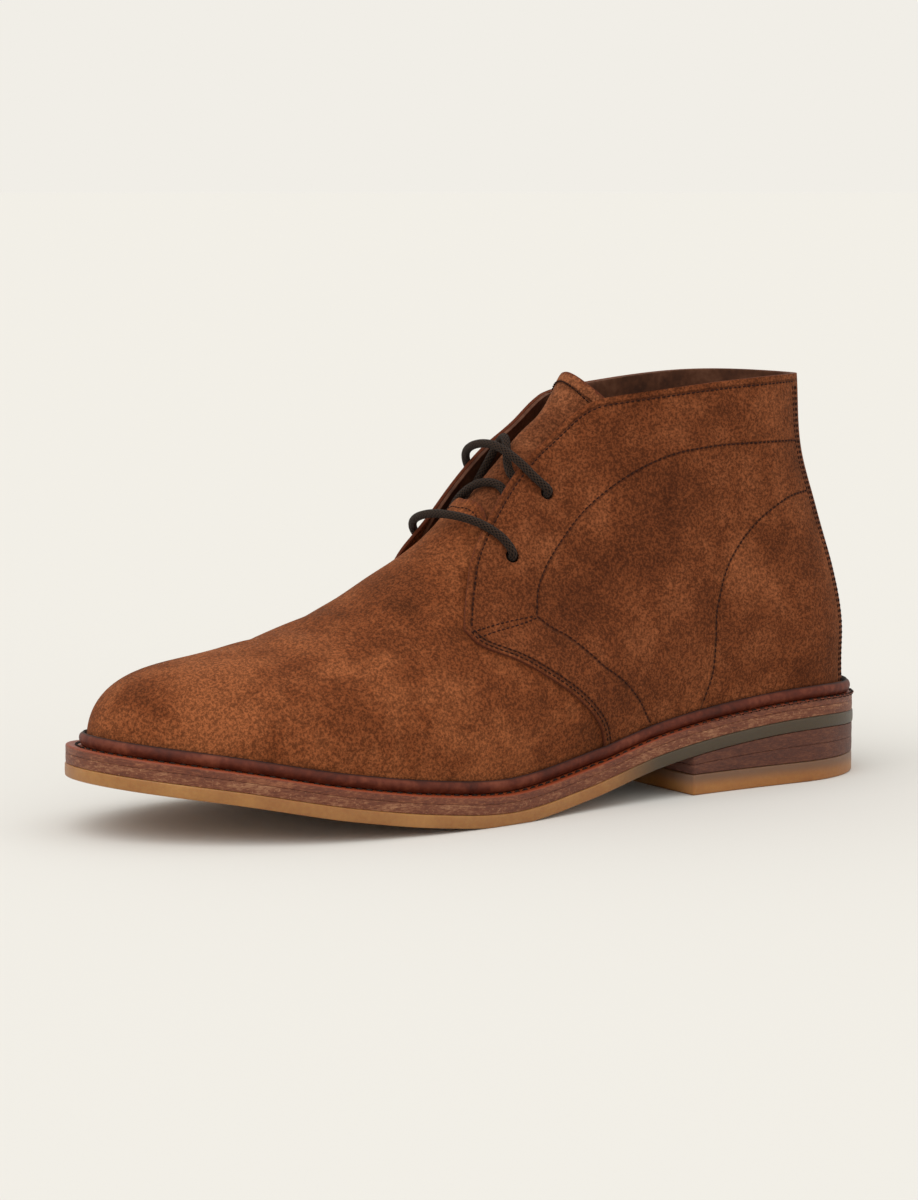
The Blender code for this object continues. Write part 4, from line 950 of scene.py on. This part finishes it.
FRONT_STEPS = 60
edge_rows = np.concatenate([steps(FRONT_STEPS, 0.04, CORNER_ROW), steps(140, CORNER_ROW, 1.0)])
edge_along, edge_level, back_level, _ = quarter_ends(edge_rows)
edge_angle = crown_angle(edge_along, edge_level, 1.0)
front_edge = (edge_along[:FRONT_STEPS], edge_angle[:FRONT_STEPS])
facing_edge = (edge_along[FRONT_STEPS:], edge_angle[FRONT_STEPS:])
collar_reach = np.linspace(1.0, 0.0, 90)
collar_level = COLLAR_HEIGHT + (edge_level[-1] - COLLAR_HEIGHT) * collar_reach
collar_along = back_set_in(collar_level) * (1.0 - collar_reach) + collar_reach * edge_along[-1]
collar_edge = (collar_along[1:-8], crown_angle(collar_along, collar_level, 1.0)[1:-8])
top_edge = tuple(np.concatenate(pair) for pair in zip(facing_edge, collar_edge))


def by_angle(table):
    """Places by height turned into places by angle, in front of the back seam."""
    curve = drawn(table)
    curve = curve[curve[:, 0] > back_set_in(curve[:, 1]) + BACK_SEAM_OFFSET + BACK_STITCH_GAPS[-1]]
    return curve[:, 0], crown_angle(curve[:, 0], curve[:, 1], 1.0)


def back_row(gap):
    """A row up the back at a gap in front of the outer quarter's rear edge."""
    level = np.linspace(0.004, COLLAR_HEIGHT - 0.002, 120)
    along = back_set_in(level) + BACK_SEAM_OFFSET + gap
    return along, crown_angle(along, level, 1.0)


def middle_part(curve, low, high):
    """The piece of a curve between two shares of its points."""
    count = len(curve[0])
    return tuple(values[int(low * count) : int(high * count)] for values in curve)


SIDE_ROWS = [
    middle_part(inset(*top_edge, EDGE_INSET), 0.012, 0.985),
    inset(*front_edge, FRONT_INSETS[0]),
    middle_part(inset(*front_edge, FRONT_INSETS[1]), 0.0, 0.985),
    by_angle(INNER_ROW),
    by_angle(STAY_ROW),
    by_angle(COUNTER_ROW),
    by_angle(CORNER_ROWS[0]),
    by_angle(CORNER_ROWS[1]),
]
BACK_STITCHES = [back_row(gap) for gap in BACK_STITCH_GAPS]
print("side rows", len(SIDE_ROWS))


# %% Set the stitches
def rods(centres, onward, upward, length, thickness):
    """Bent rods, one a centre: rings of six points along x, lifted by one less x squared, closed by two
    points."""
    x = np.array((-0.5, -0.42, -0.2, 0.2, 0.42, 0.5)) * length
    girth = np.array((0.25, 0.8, 1.0, 1.0, 0.8, 0.25)) * thickness / 2.0
    turn = np.linspace(0.0, math.tau, 7)[:-1]
    lift = thickness * (0.40 - 3.6 * (x / length) ** 2)
    y = np.cos(turn)[None, :] * girth[:, None]
    z = np.sin(turn)[None, :] * girth[:, None] + lift[:, None]
    x = x[:, None] + 0.0 * y
    sideways = unit(np.cross(upward, onward))
    frame_of = np.stack([onward, sideways, upward], axis=1)
    rod = np.stack([x, y, z], axis=-1).reshape(-1, 3)
    points = centres[:, None, :] + np.einsum("kc,nci->nki", rod, frame_of)
    caps = np.array(((0, 1, 2, 3), (0, 3, 4, 5), (30, 31, 32, 33), (30, 33, 34, 35)))
    faces = np.concatenate([grid_faces(6, 6, wrap=True), caps])
    first = np.arange(len(centres)) * len(rod)
    return points.reshape(-1, 3), (faces[None] + first[:, None, None]).reshape(-1, 4)


def walk(curve, pace, side=1.0):
    """Equal paces along a curve on the last: point, direction and outward normal at each."""
    along, angle = curve
    angle = angle if side > 0 else 180.0 - angle
    point, normal = crown_frame(along, angle)
    length = lengths(point)
    at = (np.arange(int(length[-1] / pace)) + 0.5) * pace
    onward = sample(at, length, np.gradient(point, length, axis=0))
    normal = unit(sample(at, length, normal))
    onward = unit(onward - normal * np.sum(onward * normal, axis=1, keepdims=True))
    return sample(at, length, point), normal, onward


def settle(point, normal, grid):
    """Points moved along their normals to the height of the nearest place of a grid."""
    flat = grid.reshape(-1, 3)
    near = np.array([np.argmin(np.sum((flat - p) ** 2, axis=1)) for p in point])
    return point + normal * np.sum((flat[near] - point) * normal, axis=1, keepdims=True)


PACE, STITCH, THREAD = 0.0019, 0.0015, 0.00046


def stitch_piece(name, curves, grid, side=1.0):
    """One mesh of all the stitches of some rows."""
    points, faces, first = [], [], 0
    for curve in curves:
        point, normal, onward = walk(curve, PACE, side)
        made, joined = rods(settle(point, normal, grid), onward, normal, STITCH, THREAD)
        points.append(made)
        faces.append(joined + first)
        first += len(made)
    return make_piece(name, np.concatenate(points), np.concatenate(faces), merge=0.0)


outer_stitches = stitch_piece("outer_quarter_stitches", SIDE_ROWS + BACK_STITCHES, outer_face)
inner_stitches = stitch_piece("inner_quarter_stitches", SIDE_ROWS, inner_face, -1.0)
arch_angle = np.linspace(70.0, 110.0, 60)
arch = (vamp_rear(arch_angle) + 0.0022, arch_angle)
arch_stitches = stitch_piece("vamp_arch_stitches", [arch], vamp_face)
for item in (outer_stitches, inner_stitches, arch_stitches):
    wear(item, "upper", seam_thread)


# %% Distances that the suede reads
def away_from(points, curve):
    """Distance of points in a plane from a polyline, signed by the side on which they lie."""
    first, step = curve[:-1], np.diff(curve, axis=0)
    to = points[:, None, :] - first[None]
    t = np.clip(np.sum(to * step, axis=2) / np.sum(step * step, axis=1), 0.0, 1.0)
    off = to - t[..., None] * step
    gap = np.linalg.norm(off, axis=2)
    k = gap.argmin(axis=1)
    n = np.arange(len(points))
    turned = step[k, 0] * to[n, k, 1] - step[k, 1] * to[n, k, 0]
    return gap[n, k] * np.sign(turned)


def mark_seams(item, sheet):
    """Stores how far each vertex is from the cut edge's row of stitches, the inner row and the counter's
    row."""
    at = seats(item)
    plan = np.column_stack([at[:, 0], at[:, 2] - feather_height(at[:, 0])])
    border = np.concatenate([sheet[:, -1], sheet[-1, ::-1]])
    edge = np.empty(len(at))
    for part in np.array_split(np.arange(len(at)), 24):
        edge[part] = np.sqrt(((at[part][:, None, :] - border[None]) ** 2).sum(axis=2).min(axis=1))
    mark(item.data, "edge_row", edge - EDGE_INSET)
    inner = np.concatenate([drawn(INNER_ROW, 70), drawn(STAY_ROW, 60)[1:]])
    mark(item.data, "inner_row", away_from(plan, inner))
    mark(item.data, "counter_row", away_from(plan, drawn(COUNTER_ROW, 70)))
    mark_nap_and_painted_light(item)


mark_seams(outer_quarter, outer_face)
mark_seams(inner_quarter, inner_face)
wear(outer_quarter, "upper", quarter_suede)
wear(inner_quarter, "upper", quarter_suede)
wear(lining, "upper", lining_leather)

# %% [markdown]
# ## Tongue
# The tongue is a soft tab of suede sewn under the vamp's arch. It follows the last a few millimetres below
# the facings, and its top is a folded band with a row of stitches. It could be a cloth simulation, but the
# lace holds it down, so it is a sheet on the last again, with a low ripple and the band as a small step.

# %% Tongue
TONGUE_THICKNESS = 0.0019
TONGUE_BAND, BAND_STEP, RIPPLE = 0.0036, 0.00045, 0.00025
TONGUE_FOOT, TONGUE_TIP, TONGUE_STEPS = 0.572, 0.402, 90
TONGUE_DEPTH, TONGUE_SINK = 0.0026, 0.0010


def tongue_sheet(turn, over):
    """Points from the hidden foot (turn 0) to the tip (1): the centre line slides back, the sides drop
    behind it."""
    centre = LAST_LENGTH * (TONGUE_FOOT - (TONGUE_FOOT - TONGUE_TIP) * turn)
    half_angle = smooth(turn, np.array(((0.0, 28.0), (0.5, 31.0), (1.0, 36.0))))
    drop = 0.0125 * turn**3 - 0.007 * (1.0 - turn) ** 2
    along = centre[:, None] - drop[:, None] * over[None, :] ** 2
    return along, 90.0 - half_angle[:, None] * over[None, :]


tongue_turn = np.linspace(0.0, 1.0, TONGUE_STEPS)
tongue_along, tongue_angle = tongue_sheet(tongue_turn, np.linspace(-1.0, 1.0, TONGUE_STEPS))
tongue_base = crown_point(tongue_along, tongue_angle)
tongue_out = sheet_normals(tongue_base, np.array([0.40 * LAST_LENGTH, 0.0, 0.05]))
depth = TONGUE_DEPTH + TONGUE_SINK * ease((tongue_turn - 0.18) / 0.2)
from_top = np.linalg.norm(tongue_base[-1] - tongue_base, axis=-1)
band = BAND_STEP * ease((TONGUE_BAND - from_top) / 0.0005 + 0.5)
ripple = np.sin(tongue_turn * 21.0)[:, None] * np.cos(np.linspace(-1.3, 1.3, TONGUE_STEPS))[None, :]
ripple = RIPPLE * ripple - RIPPLE
tongue_face = tongue_base + tongue_out * (band + ripple - depth[:, None])[..., None]
tongue_back = tongue_base - tongue_out * (depth[:, None] + TONGUE_THICKNESS)[..., None]
tongue = sheet_piece("tongue_tab", tongue_face, tongue_back, 0.6)
at = seats(tongue)
gap = np.sqrt(((at[:, None, :] - tongue_face[-1][None]) ** 2).sum(axis=2).min(axis=1))
mark(tongue.data, "edge_row", gap - TONGUE_BAND - 0.0002)
wear(tongue, "tongue", tongue_suede)
row_turn = 1.0 - TONGUE_BAND * 0.80 / lengths(tongue_base[:, TONGUE_STEPS // 2])[-1]
row_along, row_angle = tongue_sheet(np.array([row_turn]), np.linspace(0.94, -0.94, 80))
tongue_stitches = stitch_piece("tongue_stitches", [(row_along[0], row_angle[0])], tongue_face)
wear(tongue_stitches, "tongue", seam_thread)

# %% [markdown]
# ## Sole
# Below the upper lie the insole, the welt with its raised bead, the midsole, the gum outsole and the
# stacked heel. Each could be extruded from a flat outline, but the sole rises at the toe, arches at the
# waist and swells at the edge, so each layer is a small profile carried round the feather line: an offset
# outwards and a height for every point of the profile.

# %% Layers
WELT_THICKNESS = 0.0026
LAYER_GAP = 0.0003
MIDSOLE_THICKNESS = 0.0031
OUTSOLE_THICKNESS = 0.0043
TOP_LIFT_THICKNESS = 0.0073
HEEL_BREAST = 0.086
LAP_LEAD, LAP_LAG, LAP_LENGTH = 0.007, 0.0025, 0.006
SEAM_CLOSE = 0.00012
GUM_OVERHANG = 0.0003
INSOLE_CLEAR, INSOLE_LIFT, INSOLE_THICKNESS = 0.0006, 0.0021, 0.0046
FRONT_FOOT = FRONT_ROWS[0, 1] * LAST_LENGTH
VAMP_FOOT = VAMP_REAR_ROWS[0, 1] * LAST_LENGTH


def margin(along):
    """How far the sole stands out of the feather line."""
    return foot(along, "margin") * BALL_WIDTH


def outer_shift(along):
    """Extra reach where the quarters lie over the vamp."""
    return QUARTER_RAISE * ease((FRONT_FOOT + LAP_LEAD - along) / LAP_LENGTH)


def inner_shift(along):
    """Extra room inside where the wall is a quarter and not the vamp."""
    return (VAMP_THICKNESS - QUARTER_SINK) * ease((VAMP_FOOT - LAP_LAG - along) / LAP_LENGTH)


def midsole_top(along):
    return feather_height(along) - WELT_THICKNESS - LAYER_GAP


def outsole_top(along):
    return midsole_top(along) - MIDSOLE_THICKNESS - LAYER_GAP


def outsole_bottom(along):
    return np.maximum(outsole_top(along) - OUTSOLE_THICKNESS, 0.0)


def edge_profile(low, high, round_by, swell=0.00006):
    """Profile of a layer's edge from its underside to its top: two quarter rounds and a faint swell
    between. Each point is how far it is drawn in, which of the two faces it is measured from, and its
    lift off that."""
    turn = np.radians(np.linspace(0.0, 90.0, 5))
    foot_part = [(-round_by * (1.0 - math.sin(t)), low, round_by * (1.0 - math.cos(t))) for t in turn]
    top_part = [(-round_by * (1.0 - math.sin(t)), high, -round_by * (1.0 - math.cos(t))) for t in turn[::-1]]
    middle = [(swell, lambda s: (low(s) + high(s)) / 2.0, 0.0)]
    return foot_part + middle + top_part


def layer_loops(offset, low, high, round_by):
    """Contours of a layer, one for each point of its edge profile."""
    loops = []
    for draw, level, lift in edge_profile(low, high, round_by):
        plan = level_loop(lambda s, d=draw: offset(s) + d)
        loops.append(np.column_stack([plan, level(plan[:, 0]) + lift]))
    return loops


midsole_foot = lambda s: midsole_top(s) - MIDSOLE_THICKNESS - SEAM_CLOSE
midsole_loops = layer_loops(margin, midsole_foot, lambda s: midsole_top(s) + SEAM_CLOSE, 0.00015)
wear(slab_piece("midsole_edge", midsole_loops), "midsole", midsole_leather)
gum_edge = lambda s: margin(s) + GUM_OVERHANG
outsole_loops = layer_loops(gum_edge, outsole_bottom, lambda s: outsole_top(s) + SEAM_CLOSE, 0.0006)
wear(slab_piece("gum_outsole", outsole_loops), "outsole", gum)
insole_edge = lambda s: inner_shift(s) - VAMP_THICKNESS - INSOLE_CLEAR
insole_top = lambda s: feather_height(s) + INSOLE_LIFT
insole_loops = layer_loops(insole_edge, lambda s: insole_top(s) - INSOLE_THICKNESS, insole_top, 0.0009)
wear(slab_piece("insole_leather", insole_loops), "insole", insole_leather)

# %% Welt and bead
BEAD_HEIGHT, BEAD_THICKNESS, BEAD_GAP, BEAD_LEAN = 0.0045, 0.0020, 0.00035, 0.17
BEAD_STEPS = 13
WELT_ROUND = 0.0008
GROOVE_CLEAR, GROOVE_HALF = 0.0010, 0.0006
PAINTED_HIGHLIGHT_DEPTH = 0.0006
WELT_PACE, WELT_STITCH, WELT_THREAD = 0.0036, 0.0030, 0.00085


def bead_in(along):
    return BEAD_GAP + outer_shift(along)


def ring_loops(section):
    """Contours of a ring, from a list of offset, height over the feather line and lean with the last's
    belly."""
    loops = []
    for offset, height, lean in section:
        plan = level_loop(lambda s, o=offset, k=lean: o(s) + k * foot(s, "belly") * BALL_WIDTH)
        loops.append(np.column_stack([plan, feather_height(plan[:, 0]) + height]))
    return loops


welt_foot = -WELT_THICKNESS - SEAM_CLOSE
welt_inside = lambda s: inner_shift(s) - VAMP_THICKNESS
welt_section = [(welt_inside, welt_foot, 0.0)]
for draw, lift in ((0.0005, 0.0), (0.00015, 0.0), (0.00004, 0.00004), (0.0, 0.00015)):
    welt_section.append((lambda s, d=draw: margin(s) - d, welt_foot + lift, 0.0))
for t in np.radians(np.linspace(90.0, 0.0, 6)):
    draw, drop = WELT_ROUND * (1.0 - math.sin(t)), WELT_ROUND * (1.0 - math.cos(t))
    welt_section.append((lambda s, d=draw: margin(s) - d, -drop, 0.0))
groove = lambda s: bead_in(s) + BEAD_THICKNESS + GROOVE_CLEAR
welt_section += [(lambda s: groove(s) + GROOVE_HALF, -0.00005, 0.0), (groove, -0.00045, 0.0)]
welt_section += [(lambda s: groove(s) - GROOVE_HALF, -0.00010, 0.0), (welt_inside, 0.0, 0.0)]
# Painted highlight: full over the welt's top and rounded corner, fading out just below it
near_top = np.clip(3.0 + 3.0 * np.array([height for _, height, _ in welt_section]) / PAINTED_HIGHLIGHT_DEPTH, 0.0, 1.0)
welt = ring_piece("welt_strip", ring_loops(welt_section), burnish=near_top)
wear(welt, "welt", welt_leather)

bead_section = [(bead_in, 0.00002, 0.0)]
for t in np.linspace(0.0, 1.0, BEAD_STEPS):
    belly = 0.50 + 0.50 * math.sin(math.pi * min(t * 1.12, 1.0)) ** 0.75
    bulge = BEAD_THICKNESS * belly * (1.0 - max(t - 0.82, 0.0) * 2.4)
    height = BEAD_HEIGHT * (1.0 - (1.0 - t) ** 1.15)
    bead_section.append((lambda s, b=bulge: bead_in(s) + b, height, BEAD_LEAN * t))
bead_section.append((lambda s: bead_in(s) + 0.0003, BEAD_HEIGHT * 0.97, BEAD_LEAN))
# Painted shade: the bead's foot and top rows, where it meets the welt and the suede, take the dark colour
ink = [1.0, 0.6] + [0.0] * 9 + [0.15, 0.7, 1.0, 1.0]
bead = ring_piece("welt_bead", ring_loops(bead_section), ink=ink)
wear(bead, "welt", bead_leather)


def plan_walk(offset, height, pace):
    """Equal paces round a contour of the sole: point, direction and the way up."""
    plan = level_loop(offset)
    loop = np.column_stack([plan, feather_height(plan[:, 0]) + height])
    loop = np.concatenate([loop, loop[:1]])
    length = lengths(loop)
    at = (np.arange(int(length[-1] / pace)) + 0.5) * pace
    onward = unit(sample(at + 0.0005, length, loop) - sample(at - 0.0005, length, loop))
    return sample(at, length, loop), onward, unit((0.0, 0.0, 1.0) - onward * onward[:, 2:])


point, onward, upward = plan_walk(groove, -0.00025, WELT_PACE)
welt_stitches = make_piece("welt_stitches", *rods(point, onward, upward, WELT_STITCH, WELT_THREAD), merge=0.0)
wear(welt_stitches, "welt", welt_thread)

# %% [markdown]
# ## Heel
# Under the outsole the heel is two lifts of leather and a top lift of rubber, cut straight across at the
# breast. Each contour is the sole's outline up to the breast, and the straight cut closes it.

# %% Heel
LIFT_ROUND, TOP_LIFT_ROUND = 0.0002, 0.0007


def heel_loops(low, high, round_by):
    """Contours of a lift: the sole's outline kept as far as the breast, then its two corners on the
    straight cut."""
    loops = []
    for draw, level, lift in edge_profile(low, high, round_by):
        plan = level_loop(lambda s, d=draw: margin(s) + d)
        half = len(plan) // 2
        breast = HEEL_BREAST + draw
        keep = int(np.searchsorted(plan[: half + 1, 0], breast))
        sides = []
        for side in (plan[: half + 1], np.concatenate([plan[:1], plan[: half - 1 : -1]])):
            corner = np.interp(breast, side[:, 0], side[:, 1])
            sides.append(np.concatenate([side[:keep], [[breast, corner]]]))
        loop = np.concatenate([sides[0], sides[1][:0:-1]])
        loops.append(np.column_stack([loop, level(np.minimum(loop[:, 0], breast)) + lift]))
    return loops


def stack_level(share):
    """Height inside the heel stack, from the top lift (0) to the outsole (1)."""
    return lambda s: TOP_LIFT_THICKNESS + share * (outsole_top(s) - OUTSOLE_THICKNESS - TOP_LIFT_THICKNESS)


middle, stack_top = stack_level(0.5), stack_level(1.0)
lift_top = lambda s: 0.0 * s + TOP_LIFT_THICKNESS
top = slab_piece("rubber_top_lift", heel_loops(lambda s: 0.0 * s, lift_top, TOP_LIFT_ROUND))
wear(top, "top_lift", lift_gum)
LIFTS = (
    ("lower_heel_lift", "heel_lift_lower", lift_top, SEAM_CLOSE, middle, SEAM_CLOSE),
    ("upper_heel_lift", "heel_lift_upper", middle, LAYER_GAP - SEAM_CLOSE, stack_top, -SEAM_CLOSE),
)
for name, node, low, low_lift, high, high_lift in LIFTS:
    loops = heel_loops(lambda s: low(s) + low_lift, lambda s: high(s) + high_lift, LIFT_ROUND)
    wear(slab_piece(name, loops), node, stack_leather)

# %% [markdown]
# ## Lace
# A round braided lace of 2.9 mm goes through the two pairs of eyelets. A curve with a bevel would do, but
# the braid needs a map that runs round and along the cord, so the tube is a grid: a ring carried along a
# spline through control points given on the last, with a frame that turns as little as it can.

# %% Lace
LACE_DIAMETER = 0.0029
LACE_INSIDE, LACE_NEAR, LACE_FAR, LACE_OVER = -0.0015, 0.0047, 0.0058, 0.0065


def lace_rows():
    """Share along, angle around and lift off the last: from under the far facing to the near low eyelet,
    over to the far low one, under the far facing and across to the near top one, and over to the far top
    one."""
    (low, low_turn), (top, top_turn) = EYELETS
    inside, near, far, over = LACE_INSIDE, LACE_NEAR, LACE_FAR, LACE_OVER
    near_middle, far_middle = (inside + near) / 2.0, (inside + far) / 2.0
    far_low, far_top = 180.0 - low_turn, 180.0 - top_turn
    return np.array((
        (low + 0.0022, far_low - 13.0, inside + 0.0009), (low + 0.0026, 107.0, inside + 0.0008),
        (low + 0.0022, 101.0, inside + 0.0006), (low + 0.0004, 94.0, inside + 0.0005),
        (low - 0.0035, 87.0, inside + 0.0004), (low - 0.0095, 80.0, inside + 0.0001),
        (low - 0.0150, 74.0, inside), (low - 0.0160, 69.0, inside - 0.0002),
        (low - 0.0115, 64.0, inside - 0.0004), (low - 0.0045, low_turn + 4.0, inside - 0.0003),
        (low, low_turn - 0.8, inside - 0.0006), (low, low_turn, near_middle), (low, low_turn, near),
        (low + 0.0035, low_turn + 4.0, near + 0.0002), (low + 0.0095, low_turn + 8.3, near + 0.0004),
        (low + 0.0180, low_turn + 13.9, near + 0.0006), (low + 0.0265, 74.6, near + 0.0008),
        (low + 0.0360, 82.7, near + 0.0010), (low + 0.0400, 91.0, over - 0.0009),
        (low + 0.0405, 98.0, over - 0.0005), (low + 0.0380, 105.0, over + 0.0003),
        (low + 0.0315, 111.5, over + 0.0005), (low + 0.0215, far_low - 7.5, over),
        (low + 0.0100, far_low - 3.2, far + 0.0002), (low, far_low, far - 0.0003),
        (low, far_low, far_middle), (low, far_low, inside + 0.0002),
        (low - 0.0160, far_low - 5.0, inside + 0.0003), (top + 0.0150, far_low - 15.0, inside + 0.0010),
        (top + 0.0090, 98.0, inside + 0.0015), (top + 0.0130, 91.5, inside + 0.0013),
        (top + 0.0200, 85.5, inside + 0.0010), (top + 0.0280, 80.0, inside + 0.0005),
        (top + 0.0315, 75.0, inside + 0.0001), (top + 0.0270, 70.5, inside - 0.0001),
        (top + 0.0170, 66.0, inside - 0.0001), (top + 0.0070, 62.5, inside - 0.0001),
        (top, top_turn - 0.8, inside - 0.0003), (top, top_turn, near_middle), (top, top_turn, near),
        (top + 0.0055, top_turn + 2.2, near + 0.0002), (top + 0.0125, top_turn + 5.3, near + 0.0004),
        (top + 0.0195, 70.4, near + 0.0006), (top + 0.0250, 76.7, near + 0.0008),
        (top + 0.0280, 82.7, near + 0.0011), (top + 0.0300, 88.8, over - 0.0010),
        (top + 0.0310, 95.0, over - 0.0005), (top + 0.0290, 102.0, over + 0.0002),
        (top + 0.0235, 108.5, over + 0.0005), (top + 0.0150, far_top - 6.5, over),
        (top + 0.0070, far_top - 2.5, far + 0.0002), (top, far_top, far - 0.0003),
        (top, far_top, far_middle), (top, far_top, far_middle - 0.0014),
    ))


def rounded_path(control, per_span):
    """Cubic B-spline through a line of control points, its ends on the first and the last."""
    padded = np.concatenate([[2 * control[0] - control[1]], control, [2 * control[-1] - control[-2]]])
    t = np.linspace(0.0, 1.0, per_span, endpoint=False)[:, None, None]
    a, b, c, d = (padded[None, k : len(padded) - 3 + k] for k in range(4))
    value = (1 - t) ** 3 * a + (3 * t**3 - 6 * t**2 + 4) * b
    value = value + (-3 * t**3 + 3 * t**2 + 3 * t + 1) * c + t**3 * d
    return np.concatenate([value.transpose(1, 0, 2).reshape(-1, 3) / 6.0, padded[None, -2]])


def cord_piece(name, path, diameter, sides=20):
    """Tube along a path; each ring's frame is the one before it, freed of its part along the path."""
    onward = unit(np.gradient(path, axis=0))
    sideways = np.empty_like(path)
    way = np.cross(onward[0], (0.0, 0.0, 1.0))
    for k, along_path in enumerate(onward):
        way = unit(way - along_path * np.dot(way, along_path))
        sideways[k] = way
    other = np.cross(onward, sideways)
    turn = np.linspace(0.0, math.tau, sides + 1)
    ring = np.cos(turn)[None, :, None] * sideways[:, None] + np.sin(turn)[None, :, None] * other[:, None]
    points = path[:, None] + ring * diameter / 2.0
    pattern = np.stack(np.broadcast_arrays(turn[None, :] / math.tau, lengths(path)[:, None]), axis=-1)
    faces = grid_faces(len(path), sides + 1).tolist()
    last = (len(path) - 1) * (sides + 1)
    faces += [list(range(sides)), list(range(last, last + sides))]
    return make_piece(name, points.reshape(-1, 3), faces, pattern.reshape(-1, 2), merge=1e-6)


rows = lace_rows()
point, normal = crown_frame(rows[:, 0] * LAST_LENGTH, rows[:, 1])
lace = cord_piece("lace_cord", rounded_path(point + normal * rows[:, 2:], 14), LACE_DIAMETER)
wear(lace, "lace", lace_braid)

# %% [markdown]
# ## Floor, light and camera
# The boot stands on a seamless pale floor in soft light. A small softbox would leave a hard streak on the
# bead, so the sky is an even pale grey, and two wide suns add a gentle direction. The floor's grey is
# chosen so that, lit by both, it is as bright as the sky and its edge can't be seen.

# %% Floor and light
scene = bpy.context.scene
scene.view_settings.view_transform = "Standard"
world = bpy.data.worlds.new("studio")
world.use_nodes = True
world.node_tree.nodes["Background"].inputs["Color"].default_value = linear("#f1eee7")
world.node_tree.nodes["Background"].inputs["Strength"].default_value = 1.0
scene.world = world

FLOOR_RADIUS = 30.0
turn = np.linspace(0.0, math.tau, 65)[:-1]
floor_mesh = bpy.data.meshes.new("floor")
rim = np.column_stack([np.cos(turn), np.sin(turn), 0.0 * turn]) * FLOOR_RADIUS
floor_mesh.from_pydata(rim.tolist(), [], [list(range(len(turn)))])
floor = bpy.data.objects.new("floor", floor_mesh)
scene.collection.objects.link(floor)
floor_material, tree, shader = new_material("matt_pale_studio_floor", Roughness=1.0)
shader.inputs["Specular IOR Level"].default_value = 0.0
shader.inputs["Base Color"].default_value = linear("#dddcd9")
floor_mesh.materials.append(floor_material)


def toward(azimuth, elevation):
    """Direction out to an azimuth and an elevation round the boot: 0 is in front of the toe, 90 at +X."""
    a, e = math.radians(azimuth), math.radians(elevation)
    return Vector((math.sin(a) * math.cos(e), -math.cos(a) * math.cos(e), math.sin(e)))


def sun(name, azimuth, elevation, strength, spread_degrees):
    """A wide sun that shines from an azimuth and an elevation."""
    lamp = bpy.data.lights.new(name, "SUN")
    lamp.energy = strength
    lamp.angle = math.radians(spread_degrees)
    item = bpy.data.objects.new(name, lamp)
    scene.collection.objects.link(item)
    item.rotation_mode = "QUATERNION"
    item.rotation_quaternion = toward(azimuth, elevation).to_track_quat("Z", "Y")


sun("key", 20.0, 55.0, 1.1, 60.0)
sun("fill", 100.0, 35.0, 0.35, 90.0)
print("light ready")

# %% Camera
AZIMUTH, ELEVATION, DISTANCE = 57.256, 7.083, 1.25
TARGET = Vector((-0.0002, 0.0024, 0.060))
# Pixels of the 1200 pixel tall picture: focal length and shifts
PICTURE_HEIGHT, FOCAL_PIXELS, SHIFT_RIGHT, SHIFT_UP = 1200.0, 3669.0, -29.6, 23.0
SENSOR = 36.0
back = toward(AZIMUTH, ELEVATION)
camera = bpy.data.objects.new("camera", bpy.data.cameras.new("camera"))
scene.collection.objects.link(camera)
camera.location = TARGET + back * DISTANCE
camera.rotation_mode = "QUATERNION"
camera.rotation_quaternion = back.to_track_quat("Z", "Y")
camera.data.sensor_width = SENSOR
camera.data.lens = FOCAL_PIXELS / PICTURE_HEIGHT * SENSOR
camera.data.shift_x = SHIFT_RIGHT / PICTURE_HEIGHT
camera.data.shift_y = SHIFT_UP / PICTURE_HEIGHT
camera.data.clip_start, camera.data.clip_end = 0.05, 100.0
scene.camera = camera
print("camera at", [round(v, 3) for v in camera.location])
